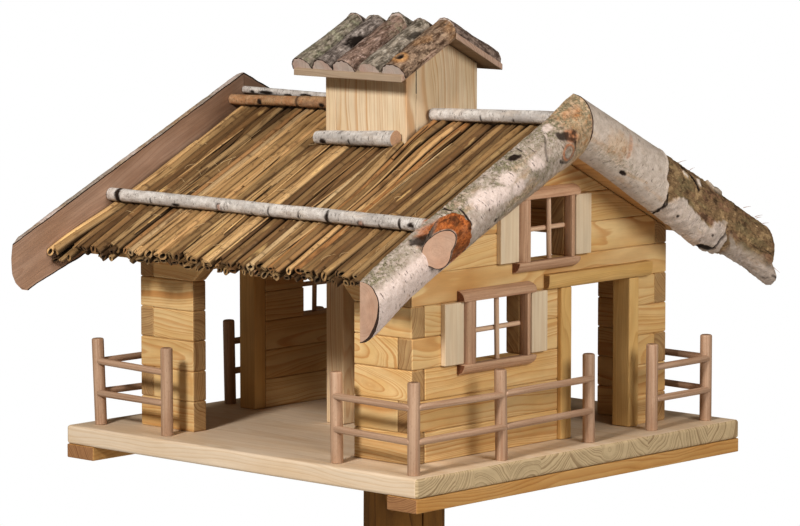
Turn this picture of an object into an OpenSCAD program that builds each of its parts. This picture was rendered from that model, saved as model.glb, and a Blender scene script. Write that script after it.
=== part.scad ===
// Log-cabin bird house with a thatched roof on a post stand.
// Millimetres. Z is up, X runs along the ridge, the front eave faces -Y.
// The origin is on the ground under the middle of the stand.

/* [View] */
// Which node to draw

/* [Stand] */
// Length of each foot beam
foot_len = 660; // [560:10:800]
// Width of a foot beam
foot_w = 70; // [50:1:90]
// Height of a foot beam
foot_h = 44; // [36:1:60]
// Diameter of the round post
post_d = 78; // [60:1:90]
// Height of the floor board's top above the ground
floor_z = 1180; // [900:10:1500]
// Distance from the post axis to the foot of a brace
brace_reach = 215; // [160:5:240]
// Width of a brace
brace_w = 40; // [30:1:50]
// Thickness of a brace
brace_t = 32; // [24:1:40]
// Side of the square head plate under the floor board
head_w = 200; // [140:5:260]
// Thickness of the head plate
head_t = 18; // [12:1:27]

/* [Floor board] */
// Length of the floor board along X
plate_l = 450; // [430:1:480]
// Depth of the floor board along Y
plate_d = 458; // [440:1:480]
// Thickness of the floor board
plate_t = 18; // [15:0.5:27]
// Radius of the floor board's corners
plate_r = 3; // [1:0.5:8]
// Width of the two cleats under the floor board
cleat_w = 36; // [24:1:50]
// Thickness of the cleats
cleat_t = 13; // [8:0.5:18]

/* [House walls] */
// Half length of the house along X
half_l = 174; // [170:0.5:180]
// Half depth of the house along Y
half_d = 179.5; // [175:0.5:182]
// Thickness of the wall boards
wall_t = 17; // [12:0.5:20]
// Height of one course of boards
course = 28.5; // [28:0.1:29]
// Half width of the opening under each eave
eave_open = 103; // [80:1:120]
// Height at which the lintel boards start over the eave openings
eave_lintel_z = 171; // [165:0.5:175]

/* [Doors and windows] */
// Y of the near edge of the doorway in the right gable
door_y0 = 36; // [30:1:40]
// Y of the far edge of the doorway in the right gable
door_y1 = 120; // [110:1:125]
// Width of the left door post, seen from outside
door_post_a = 15; // [12:0.5:20]
// Width of the narrow door post
door_post_b = 14; // [10:1:18]
// How far the door posts stand proud of the wall
door_proud = 4; // [2:0.5:6]
// Near edge of the lower window in the right gable
win_y0 = -104.5; // [-110:0.5:-98]
// Far edge of the lower window in the right gable
win_y1 = -33; // [-40:0.5:-30]
// Half width of the upper window
win_up = 29; // [22:0.5:34]
// Radius of the quarter-round trim at the windows
trim_r = 10; // [6:0.5:12]
// Width of a shutter
shutter_w = 23; // [18:0.5:24]
// Thickness of a shutter
shutter_t = 5.4; // [3:0.2:8]
// Sideways shift of the openings in the left gable
left_shift = -7; // [-9:0.5:0]

/* [Fence] */
// Diameter of a fence post
fence_post_d = 11.5; // [8:0.5:14]
// Diameter of a fence rail
fence_rail_d = 6.5; // [4:0.5:9]
// Height of a fence post
fence_h = 83; // [60:1:100]
// Height of the lower rail's axis
rail_z1 = 30.5; // [20:0.5:38]
// Height of the upper rail's axis
rail_z2 = 60; // [45:0.5:75]
// Depth by which a rail's end is let into a post
rail_in = 1.4; // [1.2:0.1:2.5]

/* [Roof] */
// Height of the roof board's underside at the ridge, above the floor board
roof_z0 = 275; // [265:0.5:280]
// Rise of the roof per unit of run
roof_slope = 0.4955; // [0.45:0.005:0.55]
// Thickness of the roof boards, measured upright
roof_t = 9; // [6:0.5:14]
// Thickness of the reed layer, measured upright
thatch_t = 15.5; // [10:0.5:24]
// Half length of the roof boards along X, left side
roof_xl = 213; // [205:0.5:216]
// Half length of the roof boards along X, right side
roof_xr = 208; // [200:0.5:212]
// Reach of the front roof board from the ridge
roof_reach = 222; // [200:1:242]
// Reach of the back roof board from the ridge
roof_reach_back = 190; // [185:1:242]
// Reach of the front reeds from the ridge
thatch_reach = 246; // [243:1:260]
// Reach of the back reeds from the ridge
thatch_reach_back = 211; // [200:1:260]
// Gap between the reeds and the half logs at the gables
thatch_gap = 5; // [2:0.5:12]
// Diameter of the right front half log
log_rf_d = 45; // [40:1:56]
// Diameter of the right back half log
log_rb_d = 52; // [40:1:56]
// Height of the right log axes at the ridge, above the floor board
log_right_z0 = 296; // [290:0.5:304]
// Diameter of the left half logs
log_left_d = 54; // [40:1:58]
// Height of the left log axes at the ridge, above the floor board
log_left_z0 = 293; // [288:0.5:304]
// Rise of the left logs per unit of run
log_left_slope = 0.4685; // [0.45:0.0005:0.55]
// Reach of the right front log from the ridge
log_reach_rf = 283; // [265:1:310]
// Reach of the right back log from the ridge
log_reach_rb = 290; // [265:1:310]
// Reach of the left logs from the ridge
log_reach_left = 305; // [265:1:310]
// Diameter of the sawn-off side branch on the right front log
stub_d = 33; // [24:1:40]
// Diameter of the rods along the ridge, right of the turret
rod_d = 12; // [8:0.5:16]
// Diameter of the rods along the ridge, left of the turret
rod_left_d = 10; // [8:0.5:12]
// Diameter of the thin rod on the ridge, left of the turret
rod_thin_d = 7; // [5:0.5:12]
// Diameter of the rod half way down each slope
slope_rod_d = 13; // [8:0.5:16]

/* [Turret and silo] */
// Length of the turret along X
turret_l = 103.5; // [90:0.5:110]
// Depth of the turret along Y
turret_d = 99; // [90:0.5:105]
// X of the turret's middle
turret_x = -1.25; // [-3:0.25:3]
// Y of the turret's middle
turret_y = -2.5; // [-3:0.25:3]
// Thickness of the turret's boards
turret_t = 13.5; // [9:0.5:16]
// Height of the turret roof's underside at its ridge, above the floor board
turret_z0 = 368.5; // [350:0.5:380]
// Rise of the turret roof per unit of run
turret_slope = 0.495; // [0.38:0.005:0.55]
// Y of the turret roof's ridge
turret_ridge_y = -4.4; // [-6:0.2:2]
// Thickness of the turret's roof boards, measured upright
turret_roof_t = 6; // [5:0.5:10]
// Half length of the turret roof along X
turret_roof_x = 70; // [60:0.5:75]
// Reach of the turret roof from its ridge, front slope
turret_reach_f = 74; // [62:0.5:85]
// Reach of the turret roof from its ridge, back slope
turret_reach_b = 65.5; // [60:0.5:85]
// Side of the silo's corner posts
silo_post = 22; // [16:0.5:24]
// Thickness of the silo's panels
silo_panel = 6; // [4:0.5:7]
// Height of the feed slot under the silo's panels
feed_slot = 14; // [8:0.5:20]

/* [Hidden] */
$fn = 0;
$fa = 6;
$fs = 0.6;
fz = floor_z;
slope_a = atan(roof_slope);
turret_a = atan(turret_slope);
// centre and diameter of each half log on the turret roof
turret_logs = [[-56.2, 27], [-29.1, 26.4], [-0.4, 29], [30, 27.6], [60.6, 29.4]];
win_z0 = 3 * course;
win_z1 = 5 * course;
up_z0 = 6 * course;
up_z1 = 8 * course;
door_h = 5 * course;
thatch_z0 = roof_z0 + roof_t;
thatch_top = thatch_z0 + thatch_t;
tx0 = turret_x - turret_l / 2;
tx1 = turret_x + turret_l / 2;
ty0 = turret_y - turret_d / 2;
ty1 = turret_y + turret_d / 2;
turret_cut = 0.3;
silo_top = 262;
wall_in_l = half_l - wall_t;
wall_in_d = half_d - wall_t;
pine = [0.87, 0.71, 0.47];
pale_pine = [0.84, 0.74, 0.60];
beech = [0.72, 0.58, 0.48];
shutter_col = [0.80, 0.71, 0.57];
orange_pine = [0.71, 0.51, 0.29];
dark_wood = [0.30, 0.22, 0.13];
reed = [0.67, 0.53, 0.35];
bark = [0.80, 0.76, 0.72];
bark_brown = [0.52, 0.45, 0.37];

// a box from one corner to the other, in house coordinates
module span(x0, x1, y0, y1, z0, z1) {
    translate([x0, y0, fz + z0]) cube([x1 - x0, y1 - y0, z1 - z0]);
}

// a profile drawn in Y and Z, drawn out from x0 to x1, in house coordinates
module prism_x(x0, x1, pts) {
    translate([x0, 0, fz]) rotate([90, 0, 90]) linear_extrude(height = x1 - x0) polygon(pts);
}

// underside of the main roof at a distance from the ridge
function roof_at(y) = roof_z0 - roof_slope * abs(y);

// underside of the turret roof at a distance from its ridge
function turret_at(y) = turret_z0 - turret_slope * abs(y - turret_ridge_y);

module rod(p, q, d) {
    v = q - p;
    len = norm(v);
    translate(p) rotate([0, acos(v[2] / len), atan2(v[1], v[0])]) cylinder(h = len, d = d);
}

// ---- stand ----

module foot_beam_x() color(dark_wood)
    difference() {
        translate([-foot_len / 2, -foot_w / 2, 0]) cube([foot_len, foot_w, foot_h]);
        translate([-foot_w / 2, -foot_w, foot_h / 2]) cube([foot_w, 2 * foot_w, foot_h]);
    }

module foot_beam_y() color(dark_wood)
    difference() {
        translate([-foot_w / 2, -foot_len / 2, 0]) cube([foot_w, foot_len, foot_h]);
        translate([-foot_w, -foot_w / 2, -foot_h / 2]) cube([2 * foot_w, foot_w, foot_h]);
    }

module stand_post() color(dark_wood)
    translate([0, 0, foot_h]) cylinder(h = fz - plate_t - head_t - foot_h, d = post_d);

module brace() {
    r0 = post_d / 2 - 4;
    translate([0, brace_w / 2, 0]) rotate([90, 0, 0]) linear_extrude(height = brace_w)
        polygon([[brace_reach, foot_h], [brace_reach - 1.42 * brace_t, foot_h], [r0 + 4.5, foot_h + brace_reach - 1.42 * brace_t - r0 - 4.5], [r0 + 4.5, foot_h + brace_reach - r0 - 4.5]]);
}

module stand_braces() color(dark_wood)
    for (a = [0, 90, 180, 270]) rotate([0, 0, a]) brace();

module head_plate() color(dark_wood)
    translate([-head_w / 2, -head_w / 2, fz - plate_t - head_t]) cube([head_w, head_w, head_t]);

// ---- floor ----

module base_plate() color(pale_pine)
    translate([-plate_l / 2, -plate_d / 2, fz - plate_t]) linear_extrude(height = plate_t)
        polygon([[plate_r, 0], [plate_l - plate_r, 0], [plate_l, plate_r], [plate_l, plate_d - plate_r], [plate_l - plate_r, plate_d], [plate_r, plate_d], [0, plate_d - plate_r], [0, plate_r]]);

module floor_cleats() color(orange_pine) {
    span(plate_l / 2 - cleat_w, plate_l / 2 - 0.3, -plate_d / 2 + 0.3, plate_d / 2 - 0.3, -plate_t - cleat_t, -plate_t);
    span(-plate_l / 2 + 0.3, -plate_l / 2 + cleat_w, -plate_d / 2 + 0.3, plate_d / 2 - 0.3, -plate_t - cleat_t, -plate_t);
}

// ---- eave walls ----

module eave_wall(x0, x1) {
    prism_x(x0, x1, [[-half_d, 0], [-wall_in_d, 0], [-wall_in_d, eave_lintel_z], [-half_d, eave_lintel_z]]);
}

// the slanted end of the top course beside an eave opening
module corbel(x, s) {
    z0 = eave_lintel_z - course;
    translate([0, -wall_in_d, fz]) rotate([90, 0, 0]) linear_extrude(height = wall_t)
        polygon([[x, z0], [x + s * course, eave_lintel_z], [x, eave_lintel_z]]);
}

module eave_lintel() {
    prism_x(-half_l, half_l, [[-half_d, eave_lintel_z], [-wall_in_d, eave_lintel_z], [-wall_in_d, roof_at(wall_in_d)], [-half_d, roof_at(half_d)]]);
}

module front_wall_left() color(pine) { eave_wall(-half_l, -eave_open); corbel(-eave_open, 1); }
module front_wall_right() color(pine) { eave_wall(eave_open, half_l); corbel(eave_open, -1); }
module back_wall_right() color(pine) rotate([0, 0, 180]) { eave_wall(-half_l, -eave_open); corbel(-eave_open, 1); }
module back_wall_left() color(pine) rotate([0, 0, 180]) { eave_wall(eave_open, half_l); corbel(eave_open, -1); }
module front_lintel() color(pine) eave_lintel();
module back_lintel() color(pine) rotate([0, 0, 180]) eave_lintel();

// ---- gable walls, drawn for the right gable ----

module gable_window_wall(s = 0)
    difference() {
        span(wall_in_l, half_l, -wall_in_d, door_y0 - door_post_a + s, 0, door_h);
        span(wall_in_l - 5, half_l + 5, win_y0 + s, win_y1 + s, win_z0, win_z1 + 5);
    }

module gable_corner_wall(s = 0)
    span(wall_in_l, half_l, door_y1 + door_post_b + s, wall_in_d, 0, door_h);

module gable_upper_wall(s = 0)
    difference() {
        prism_x(wall_in_l, half_l, [[-wall_in_d, door_h], [wall_in_d, door_h], [wall_in_d, roof_at(wall_in_d)], [0, roof_z0], [-wall_in_d, roof_at(wall_in_d)]]);
        span(wall_in_l - 5, half_l + 5, -win_up + s, win_up + s, up_z0, up_z1);
    }

module door_frame(s = 0) {
    span(wall_in_l, half_l + door_proud, door_y0 - door_post_a + s, door_y0 + s, 0, door_h);
    span(wall_in_l, half_l + door_proud, door_y1 + s, door_y1 + door_post_b + s, 0, door_h);
    translate([half_l, s, fz + door_h]) rotate([-90, 0, 0]) linear_extrude(height = 150)
        polygon([[0, 0], [door_proud + 4, 0], [door_proud + 4, -6], [door_proud + 3, -10], [door_proud, -13], [0, -14]]);
}

// quarter-round moulding along +Z, flat faces on the wall and towards +Y or -Y
module quarter(len, r)
    intersection() {
        cylinder(h = len, r = r);
        cube([r, r, len]);
    }

module window_frame(y0, y1, z0, z1) {
    e = 5;
    // head, flat side down
    translate([half_l, y0 - trim_r - e, fz + z1]) rotate([-90, -90, 0]) mirror([0, 1, 0]) quarter(y1 - y0 + 2 * trim_r + 2 * e, trim_r);
    // sill, flat side up
    translate([half_l, y0 - trim_r - e, fz + z0]) rotate([-90, 0, 0]) quarter(y1 - y0 + 2 * trim_r + 2 * e, trim_r);
    // jambs, flat sides towards the opening
    translate([half_l, y1, fz + z0]) quarter(z1 - z0, trim_r);
    translate([half_l, y0, fz + z0]) mirror([0, 1, 0]) quarter(z1 - z0, trim_r);
}

module window_frames(s = 0) {
    window_frame(win_y0 + s, win_y1 + s, win_z0, win_z1);
    window_frame(-win_up + s, win_up + s, up_z0, up_z1);
}

module shutter_pair(y0, y1, z0, z1) {
    span(half_l, half_l + shutter_t, y0 - trim_r - 3.4 - shutter_w, y0 - trim_r - 3.4 + 2.4, z0 + 0.5, z1 - 0.3);
    span(half_l, half_l + shutter_t, y1 + trim_r + 1, y1 + trim_r + shutter_w, z0 + 0.5, z1 - 0.3);
}

module shutters(s = 0) {
    shutter_pair(win_y0 + s, win_y1 + s, win_z0, win_z1);
    shutter_pair(-win_up + s, win_up + s, up_z0, up_z1);
}

module right_gable_window_wall() color(pine) gable_window_wall();
module right_gable_corner_wall() color(pine) gable_corner_wall();
module right_gable_upper_wall() color(pine) gable_upper_wall();
module left_gable_window_wall() color(pine) rotate([0, 0, 180]) gable_window_wall(-left_shift);
module left_gable_corner_wall() color(pine) rotate([0, 0, 180]) gable_corner_wall(-left_shift);
module left_gable_upper_wall() color(pine) rotate([0, 0, 180]) gable_upper_wall(-left_shift);
module right_door_frame() color(orange_pine) door_frame();
module left_door_frame() color(orange_pine) rotate([0, 0, 180]) door_frame(-left_shift);
module right_window_frames() color(beech) window_frames();
module left_window_frames() color(beech) rotate([0, 0, 180]) window_frames(-left_shift);
module right_shutters() color(shutter_col) shutters();
module left_shutters() color(shutter_col) rotate([0, 0, 180]) shutters(-left_shift);

// ---- fence ----

// one half of the fence: posts, then the pairs of posts that two rails join
fence_at = [[-109.5, -208], [112.5, -211.5], [208, -214], [211, -100], [205, 29], [203.5, 122.5], [203.5, 204]];
fence_runs = [[[-203.5, -204], [-109.5, -208]], [[112.5, -211.5], [208, -214]], [[208, -214], [211, -100]], [[211, -100], [205, 29]], [[203.5, 122.5], [203.5, 204]]];

// a rail from post to post, its flat ends let into the posts by a little
module fence_rail(p, q, z, d, let_in) {
    u = (q - p) / norm(q - p);
    e = fence_post_d / 2 - let_in;
    rod([p[0] + u[0] * e, p[1] + u[1] * e, fz + z], [q[0] - u[0] * e, q[1] - u[1] * e, fz + z], d);
}

module half_rails(d, let_in)
    for (r = fence_runs, z = [rail_z1, rail_z2]) fence_rail(r[0], r[1], z, d, let_in);

module all_rails()
    for (a = [0, 180]) rotate([0, 0, a]) half_rails(fence_rail_d, rail_in);

module fence_posts() color(beech)
    difference() {
        for (a = [0, 180], p = fence_at) rotate([0, 0, a]) translate([p[0], p[1], fz]) cylinder(h = fence_h, d = fence_post_d);
        all_rails();
    }

module fence_rails() color(beech) all_rails();

// ---- roof ----

// a slab on the front slope between two heights at the ridge
module slope_slab(x0, x1, reach, z0, z1)
    prism_x(x0, x1, [[0, z0], [0, z1], [-reach, z1 - roof_slope * reach], [-reach, z0 - roof_slope * reach]]);

module turret_hole(c)
    span(tx0 - c, tx1 + c, ty0 - c, ty1 + c, 100, 600);

module roof_board_front() color(pine)
    difference() { slope_slab(-roof_xl, roof_xr, roof_reach, roof_z0, roof_z0 + roof_t); turret_hole(turret_cut); }
module roof_board_back() color(pine)
    difference() { mirror([0, 1, 0]) slope_slab(-roof_xl, roof_xr, roof_reach_back, roof_z0, roof_z0 + roof_t); turret_hole(turret_cut); }
module thatch_front() color(reed)
    difference() { slope_slab(-roof_xl + thatch_gap, roof_xr - thatch_gap, thatch_reach, thatch_z0, thatch_top); turret_hole(turret_cut); }
module thatch_back() color(reed)
    difference() { mirror([0, 1, 0]) slope_slab(-roof_xl + thatch_gap, roof_xr - thatch_gap, thatch_reach_back, thatch_z0, thatch_top); turret_hole(turret_cut); }

// half log down the front slope, flat side towards -X, cut upright at ridge and end
module half_log(x, d, z0, slope, reach)
    intersection() {
        translate([x, 0, fz + z0]) rotate([90 + atan(slope), 0, 0]) translate([0, 0, -60])
            intersection() {
                cylinder(h = 480, d = d);
                translate([0, -d, 0]) cube([d, 2 * d, 480]);
            }
        translate([x, -reach, fz]) cube([d, reach, 600]);
    }

module left_log() half_log(roof_xl, log_left_d, log_left_z0, log_left_slope, log_reach_left);

module log_right_front() color(bark) {
    half_log(roof_xr, log_rf_d, log_right_z0, roof_slope, log_reach_rf);
    // sawn-off side branch, leaning outwards and down the slope
    intersection() {
        rod([roof_xr + 14, -182, fz + 212], [roof_xr + 33.5, -219, fz + 203.5], stub_d);
        translate([roof_xr, -300, fz]) cube([80, 300, 600]);
    }
}
module log_right_back() color(bark) mirror([0, 1, 0]) half_log(roof_xr, log_rb_d, log_right_z0, roof_slope, log_reach_rb);
module log_left_front() color(bark) mirror([1, 0, 0]) left_log();
module log_left_back() color(bark) rotate([0, 0, 180]) left_log();

// a rod lying on the front slope at a distance from the ridge
module slope_rod(x0, x1, y, d) {
    z = fz + thatch_top - roof_slope * y + d / 2 / cos(slope_a);
    rod([x0, -y, z], [x1, -y, z], d);
}

// a rod between two points in house coordinates
module house_rod(p, q, d) rod([p[0], p[1], fz + p[2]], [q[0], q[1], fz + q[2]], d);

module ridge_rods() color(bark) {
    house_rod([tx1 + 4, -20, 298.5], [roof_xr - 0.5, -7, 303], rod_d);
    mirror([0, 1, 0]) slope_rod(tx1 + 1, roof_xr - 0.5, 22, rod_d);
    // left of the turret: one on the ridge itself, one on either side of it
    house_rod([-roof_xl + 0.5, 0, 306.8], [tx0 - 1, 0, 305.8], rod_thin_d);
    house_rod([-roof_xl + 0.5, -17, 298.2], [tx0 - 1, -11.6, 302.1], rod_left_d);
    mirror([0, 1, 0]) slope_rod(-roof_xl + 0.5, tx0 - 1, 18, rod_left_d);
}

module slope_rods() color(bark)
    for (m = [0, 1]) mirror([0, m, 0]) slope_rod(-roof_xl + 0.5, roof_xr - 0.5, 180, slope_rod_d);

module turret_base_logs() color(bark) {
    house_rod([-50.5, -66, 273.8], [45.5, -61, 277.6], 14);
    mirror([0, 1, 0]) slope_rod(-53, 60, ty1 + 8.2, 15);
}

// ---- turret ----

// a board drawn in Y and Z under the turret roof
module turret_board(x0, x1, y0, y1) {
    r = turret_ridge_y;
    pts = y0 < r && y1 > r
        ? [[y0, silo_top], [y1, silo_top], [y1, turret_at(y1)], [r, turret_z0], [y0, turret_at(y0)]]
        : [[y0, silo_top], [y1, silo_top], [y1, turret_at(y1)], [y0, turret_at(y0)]];
    prism_x(x0, x1, pts);
}

module turret_front_back_walls() color(pine) {
    turret_board(tx0 + turret_t, tx1, ty0, ty0 + turret_t);
    turret_board(tx0, tx1 - turret_t, ty1 - turret_t, ty1);
}

module turret_side_walls() color(pine) {
    turret_board(tx0, tx0 + turret_t, ty0, ty1 - turret_t);
    turret_board(tx1 - turret_t, tx1, ty0 + turret_t, ty1);
}

module turret_roof_boards() color(pale_pine) {
    r = turret_ridge_y;
    yf = r - turret_reach_f;
    yb = r + turret_reach_b;
    t = turret_roof_t;
    prism_x(-turret_roof_x, turret_roof_x, [[r, turret_z0], [yf, turret_at(yf)], [yf, turret_at(yf) + t], [r, turret_z0 + t], [yb, turret_at(yb) + t], [yb, turret_at(yb)]]);
}

// half logs down the front slope, flat side down, cut upright at ridge and eave
module turret_half_logs(reach)
    for (l = turret_logs) intersection() {
        translate([l[0], 0, fz + turret_z0 + turret_roof_t]) rotate([90 + turret_a, 0, 0]) translate([0, 0, -20])
            intersection() {
                cylinder(h = 140, d = l[1]);
                translate([-l[1], 0, 0]) cube([2 * l[1], l[1], 140]);
            }
        translate([l[0] - l[1], -reach, fz]) cube([2 * l[1], reach, 600]);
    }

module turret_roof_logs_front() color(bark_brown) translate([0, turret_ridge_y, 0]) turret_half_logs(turret_reach_f + 3);
module turret_roof_logs_back() color(bark_brown) translate([0, turret_ridge_y, 0]) mirror([0, 1, 0]) turret_half_logs(turret_reach_b + 3);

// ---- feed silo between the turret and the floor ----

module feed_silo() color(pine) {
    p = silo_post;
    for (x = [tx0, tx1 - p], y = [ty0, ty1 - p]) span(x, x + p, y, y + p, 0, silo_top);
    span(tx0 + p, tx1 - p, ty0 + p - silo_panel - 1, ty0 + p - 1, feed_slot, silo_top);
    span(tx0 + p, tx1 - p, ty1 - p + 1, ty1 - p + silo_panel + 1, feed_slot, silo_top);
    span(tx0 + p - silo_panel - 1, tx0 + p - 1, ty0 + p, ty1 - p, feed_slot, silo_top);
    span(tx1 - p + 1, tx1 - p + silo_panel + 1, ty0 + p, ty1 - p, feed_slot, silo_top);
}

foot_beam_x();
foot_beam_y();
stand_post();
stand_braces();
head_plate();
base_plate();
floor_cleats();
front_wall_left();
front_wall_right();
back_wall_left();
back_wall_right();
front_lintel();
back_lintel();
right_gable_window_wall();
right_gable_corner_wall();
right_gable_upper_wall();
left_gable_window_wall();
left_gable_corner_wall();
left_gable_upper_wall();
right_door_frame();
left_door_frame();
right_window_frames();
left_window_frames();
right_shutters();
left_shutters();
fence_posts();
fence_rails();
roof_board_front();
roof_board_back();
thatch_front();
thatch_back();
log_right_front();
log_right_back();
log_left_front();
log_left_back();
ridge_rods();
slope_rods();
turret_base_logs();
turret_front_back_walls();
turret_side_walls();
turret_roof_boards();
turret_roof_logs_front();
turret_roof_logs_back();
feed_silo();
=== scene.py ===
# Log-cabin bird house on a post stand: the visual model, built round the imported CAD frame.
# Lengths are millimetres in house coordinates (z = 0 on the floor board's top) until a mesh is built, then metres.
import bpy, bmesh, math
import numpy as np
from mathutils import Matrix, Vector


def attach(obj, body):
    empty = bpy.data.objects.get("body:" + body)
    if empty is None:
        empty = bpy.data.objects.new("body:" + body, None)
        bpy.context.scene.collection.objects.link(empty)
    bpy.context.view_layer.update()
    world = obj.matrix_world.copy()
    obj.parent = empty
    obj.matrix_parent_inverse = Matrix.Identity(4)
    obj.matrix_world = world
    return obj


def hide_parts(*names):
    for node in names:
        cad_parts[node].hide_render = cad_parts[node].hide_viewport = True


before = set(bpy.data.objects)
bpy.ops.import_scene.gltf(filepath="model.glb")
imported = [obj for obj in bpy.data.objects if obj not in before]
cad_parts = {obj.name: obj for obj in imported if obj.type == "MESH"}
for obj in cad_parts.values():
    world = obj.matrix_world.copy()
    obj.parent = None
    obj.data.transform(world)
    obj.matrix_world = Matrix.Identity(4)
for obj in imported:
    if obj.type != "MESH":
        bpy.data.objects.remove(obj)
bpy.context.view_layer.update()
FZ = 1180.0
PI = math.pi

# ------------------------------------------------------------------ numbers shared with the CAD part
HL, HD, WT, CO = 174.0, 179.5, 17.0, 28.5
OPEN, LINT = 103.0, 171.0
DY0, DY1, PA, PB, PROUD = 36.0, 120.0, 15.0, 14.0, 4.0
WY0, WY1, WUP, TR = -104.5, -33.0, 29.0, 10.0
SHW, SHT, LSH = 23.0, 5.4, -7.0
RZ0, SL, RT, TH = 275.0, 0.4955, 9.0, 15.5
RXL, RXR, RREACH, TREACH = 213.0, 208.0, {-1: 222.0, 1: 190.0}, {-1: 246.0, 1: 211.0}
LZ0 = 298.0
TX0, TX1, TY0, TY1 = -53.0, 50.5, -52.0, 47.0
TT, TZ0, TRT, TRX, TSL, TRY, TRF, TRB = 13.5, 368.5, 6.0, 70.0, 0.495, -4.4, 74.0, 65.5
WIL, WID = HL - WT, HD - WT
CA, SA = 1 / math.sqrt(1 + SL * SL), SL / math.sqrt(1 + SL * SL)


def rnd(seed):
    return np.random.default_rng(seed)


# ------------------------------------------------------------------ noise
def _hash(ix, iy, iz, seed):
    h = (ix * 374761393 + iy * 668265263 + iz * 1442695041 + seed * 1274126177) & 0xFFFFFFFF
    h = ((h ^ (h >> 13)) * 1274126177) & 0xFFFFFFFF
    return ((h ^ (h >> 16)) & 0xFFFFFF) / float(0xFFFFFF)


def vnoise(p, seed=0):
    p = np.asarray(p, float)
    i = np.floor(p).astype(np.int64)
    f = p - i
    u = f * f * f * (f * (f * 6 - 15) + 10)
    r = 0
    for dx in (0, 1):
        wx = u[..., 0] if dx else 1 - u[..., 0]
        for dy in (0, 1):
            wy = u[..., 1] if dy else 1 - u[..., 1]
            for dz in (0, 1):
                wz = u[..., 2] if dz else 1 - u[..., 2]
                r = r + wx * wy * wz * _hash(i[..., 0] + dx, i[..., 1] + dy, i[..., 2] + dz, seed)
    return r * 2 - 1


def fbm(p, octaves=4, seed=0, gain=0.5):
    p = np.asarray(p, float)
    a, s, t = 1.0, 0.0, 0.0
    for k in range(octaves):
        s = s + a * vnoise(p * 2.0 ** k + 17.3 * k, seed + k)
        t += a
        a *= gain
    return s / t


def p3(*c):
    return np.stack(np.broadcast_arrays(*[np.asarray(x, float) for x in c]), -1)


def smooth(a, b, x):
    t = np.clip((x - a) / (b - a), 0, 1)
    return t * t * (3 - 2 * t)


# ------------------------------------------------------------------ mesh collecting
class Geo:
    """Collects vertices (mm, house coordinates), faces and point attributes for one piece."""

    KINDS = {"gco": 3, "tint": 1, "tone": 1, "m1": 1, "m2": 1, "m3": 1, "m4": 1, "m5": 1, "m6": 1}

    def __init__(self, *mats):
        self.mats = list(mats)
        self.parts = []
        self.n = 0

    def add(self, v, faces, mi=0, smooth_=False, **att):
        v = np.asarray(v, float).reshape(-1, 3)
        if isinstance(faces, np.ndarray):
            tot = np.full(len(faces), faces.shape[1], np.int64)
            loops = faces.reshape(-1).astype(np.int64)
        else:
            tot = np.array([len(f) for f in faces], np.int64)
            loops = np.fromiter((i for f in faces for i in f), np.int64)
        mi = np.broadcast_to(np.asarray(mi, np.int64), (len(tot),)).copy()
        self.parts.append((v, loops + self.n, tot, mi, np.full(len(tot), smooth_, bool), att))
        self.n += len(v)

    def build(self, name, nodes, sharp=None):
        v = np.concatenate([p[0] for p in self.parts])
        loops = np.concatenate([p[1] for p in self.parts])
        tot = np.concatenate([p[2] for p in self.parts])
        mi = np.concatenate([p[3] for p in self.parts])
        sm = np.concatenate([p[4] for p in self.parts])
        w = (v + np.array([0, 0, FZ])) / 1000.0
        me = bpy.data.meshes.new(name)
        me.vertices.add(len(w))
        me.vertices.foreach_set("co", w.astype(np.float32).ravel())
        me.loops.add(len(loops))
        me.loops.foreach_set("vertex_index", loops.astype(np.int32))
        me.polygons.add(len(tot))
        start = np.concatenate([[0], np.cumsum(tot)[:-1]])
        me.polygons.foreach_set("loop_start", start.astype(np.int32))
        me.polygons.foreach_set("loop_total", tot.astype(np.int32))
        me.polygons.foreach_set("material_index", mi.astype(np.int32))
        me.polygons.foreach_set("use_smooth", sm)
        for m in self.mats:
            me.materials.append(m)
        me.update(calc_edges=True)
        for k, dim in self.KINDS.items():
            if not any(k in p[5] for p in self.parts):
                continue
            out = []
            for p in self.parts:
                n = len(p[0])
                x = p[5].get(k)
                if x is None:
                    x = np.zeros((n, dim) if dim > 1 else n)
                x = np.asarray(x, float)
                if dim > 1:
                    x = np.broadcast_to(x, (n, dim))
                else:
                    x = np.broadcast_to(x, (n,))
                out.append(x)
            arr = np.concatenate(out).astype(np.float32)
            a = me.attributes.new(k, "FLOAT_VECTOR" if dim > 1 else "FLOAT", "POINT")
            a.data.foreach_set("vector" if dim > 1 else "value", arr.ravel())
        me.validate()
        if sharp is not None:
            me.set_sharp_from_angle(angle=math.radians(sharp))
        o = bpy.data.objects.new(name, me)
        bpy.context.scene.collection.objects.link(o)
        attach(o, "root")
        if nodes:
            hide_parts(*([nodes] if isinstance(nodes, str) else nodes))
        return o


def grid_faces(nu, nv, closed_u=False, closed_v=False, flip=False):
    """Quads of a grid of nu by nv points, point (i, j) at index i * nv + j."""
    iu = np.arange(nu if closed_u else nu - 1)
    jv = np.arange(nv if closed_v else nv - 1)
    i, j = np.meshgrid(iu, jv, indexing="ij")
    i2, j2 = (i + 1) % nu, (j + 1) % nv
    q = np.stack([i * nv + j, i2 * nv + j, i2 * nv + j2, i * nv + j2], -1).reshape(-1, 4)
    return q[:, ::-1] if flip else q


def rot180(v):
    v = np.array(v, float)
    v[..., 0] *= -1
    v[..., 1] *= -1
    return v


# ------------------------------------------------------------------ boards
AXES = {"x": 0, "y": 1, "z": 2}


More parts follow.
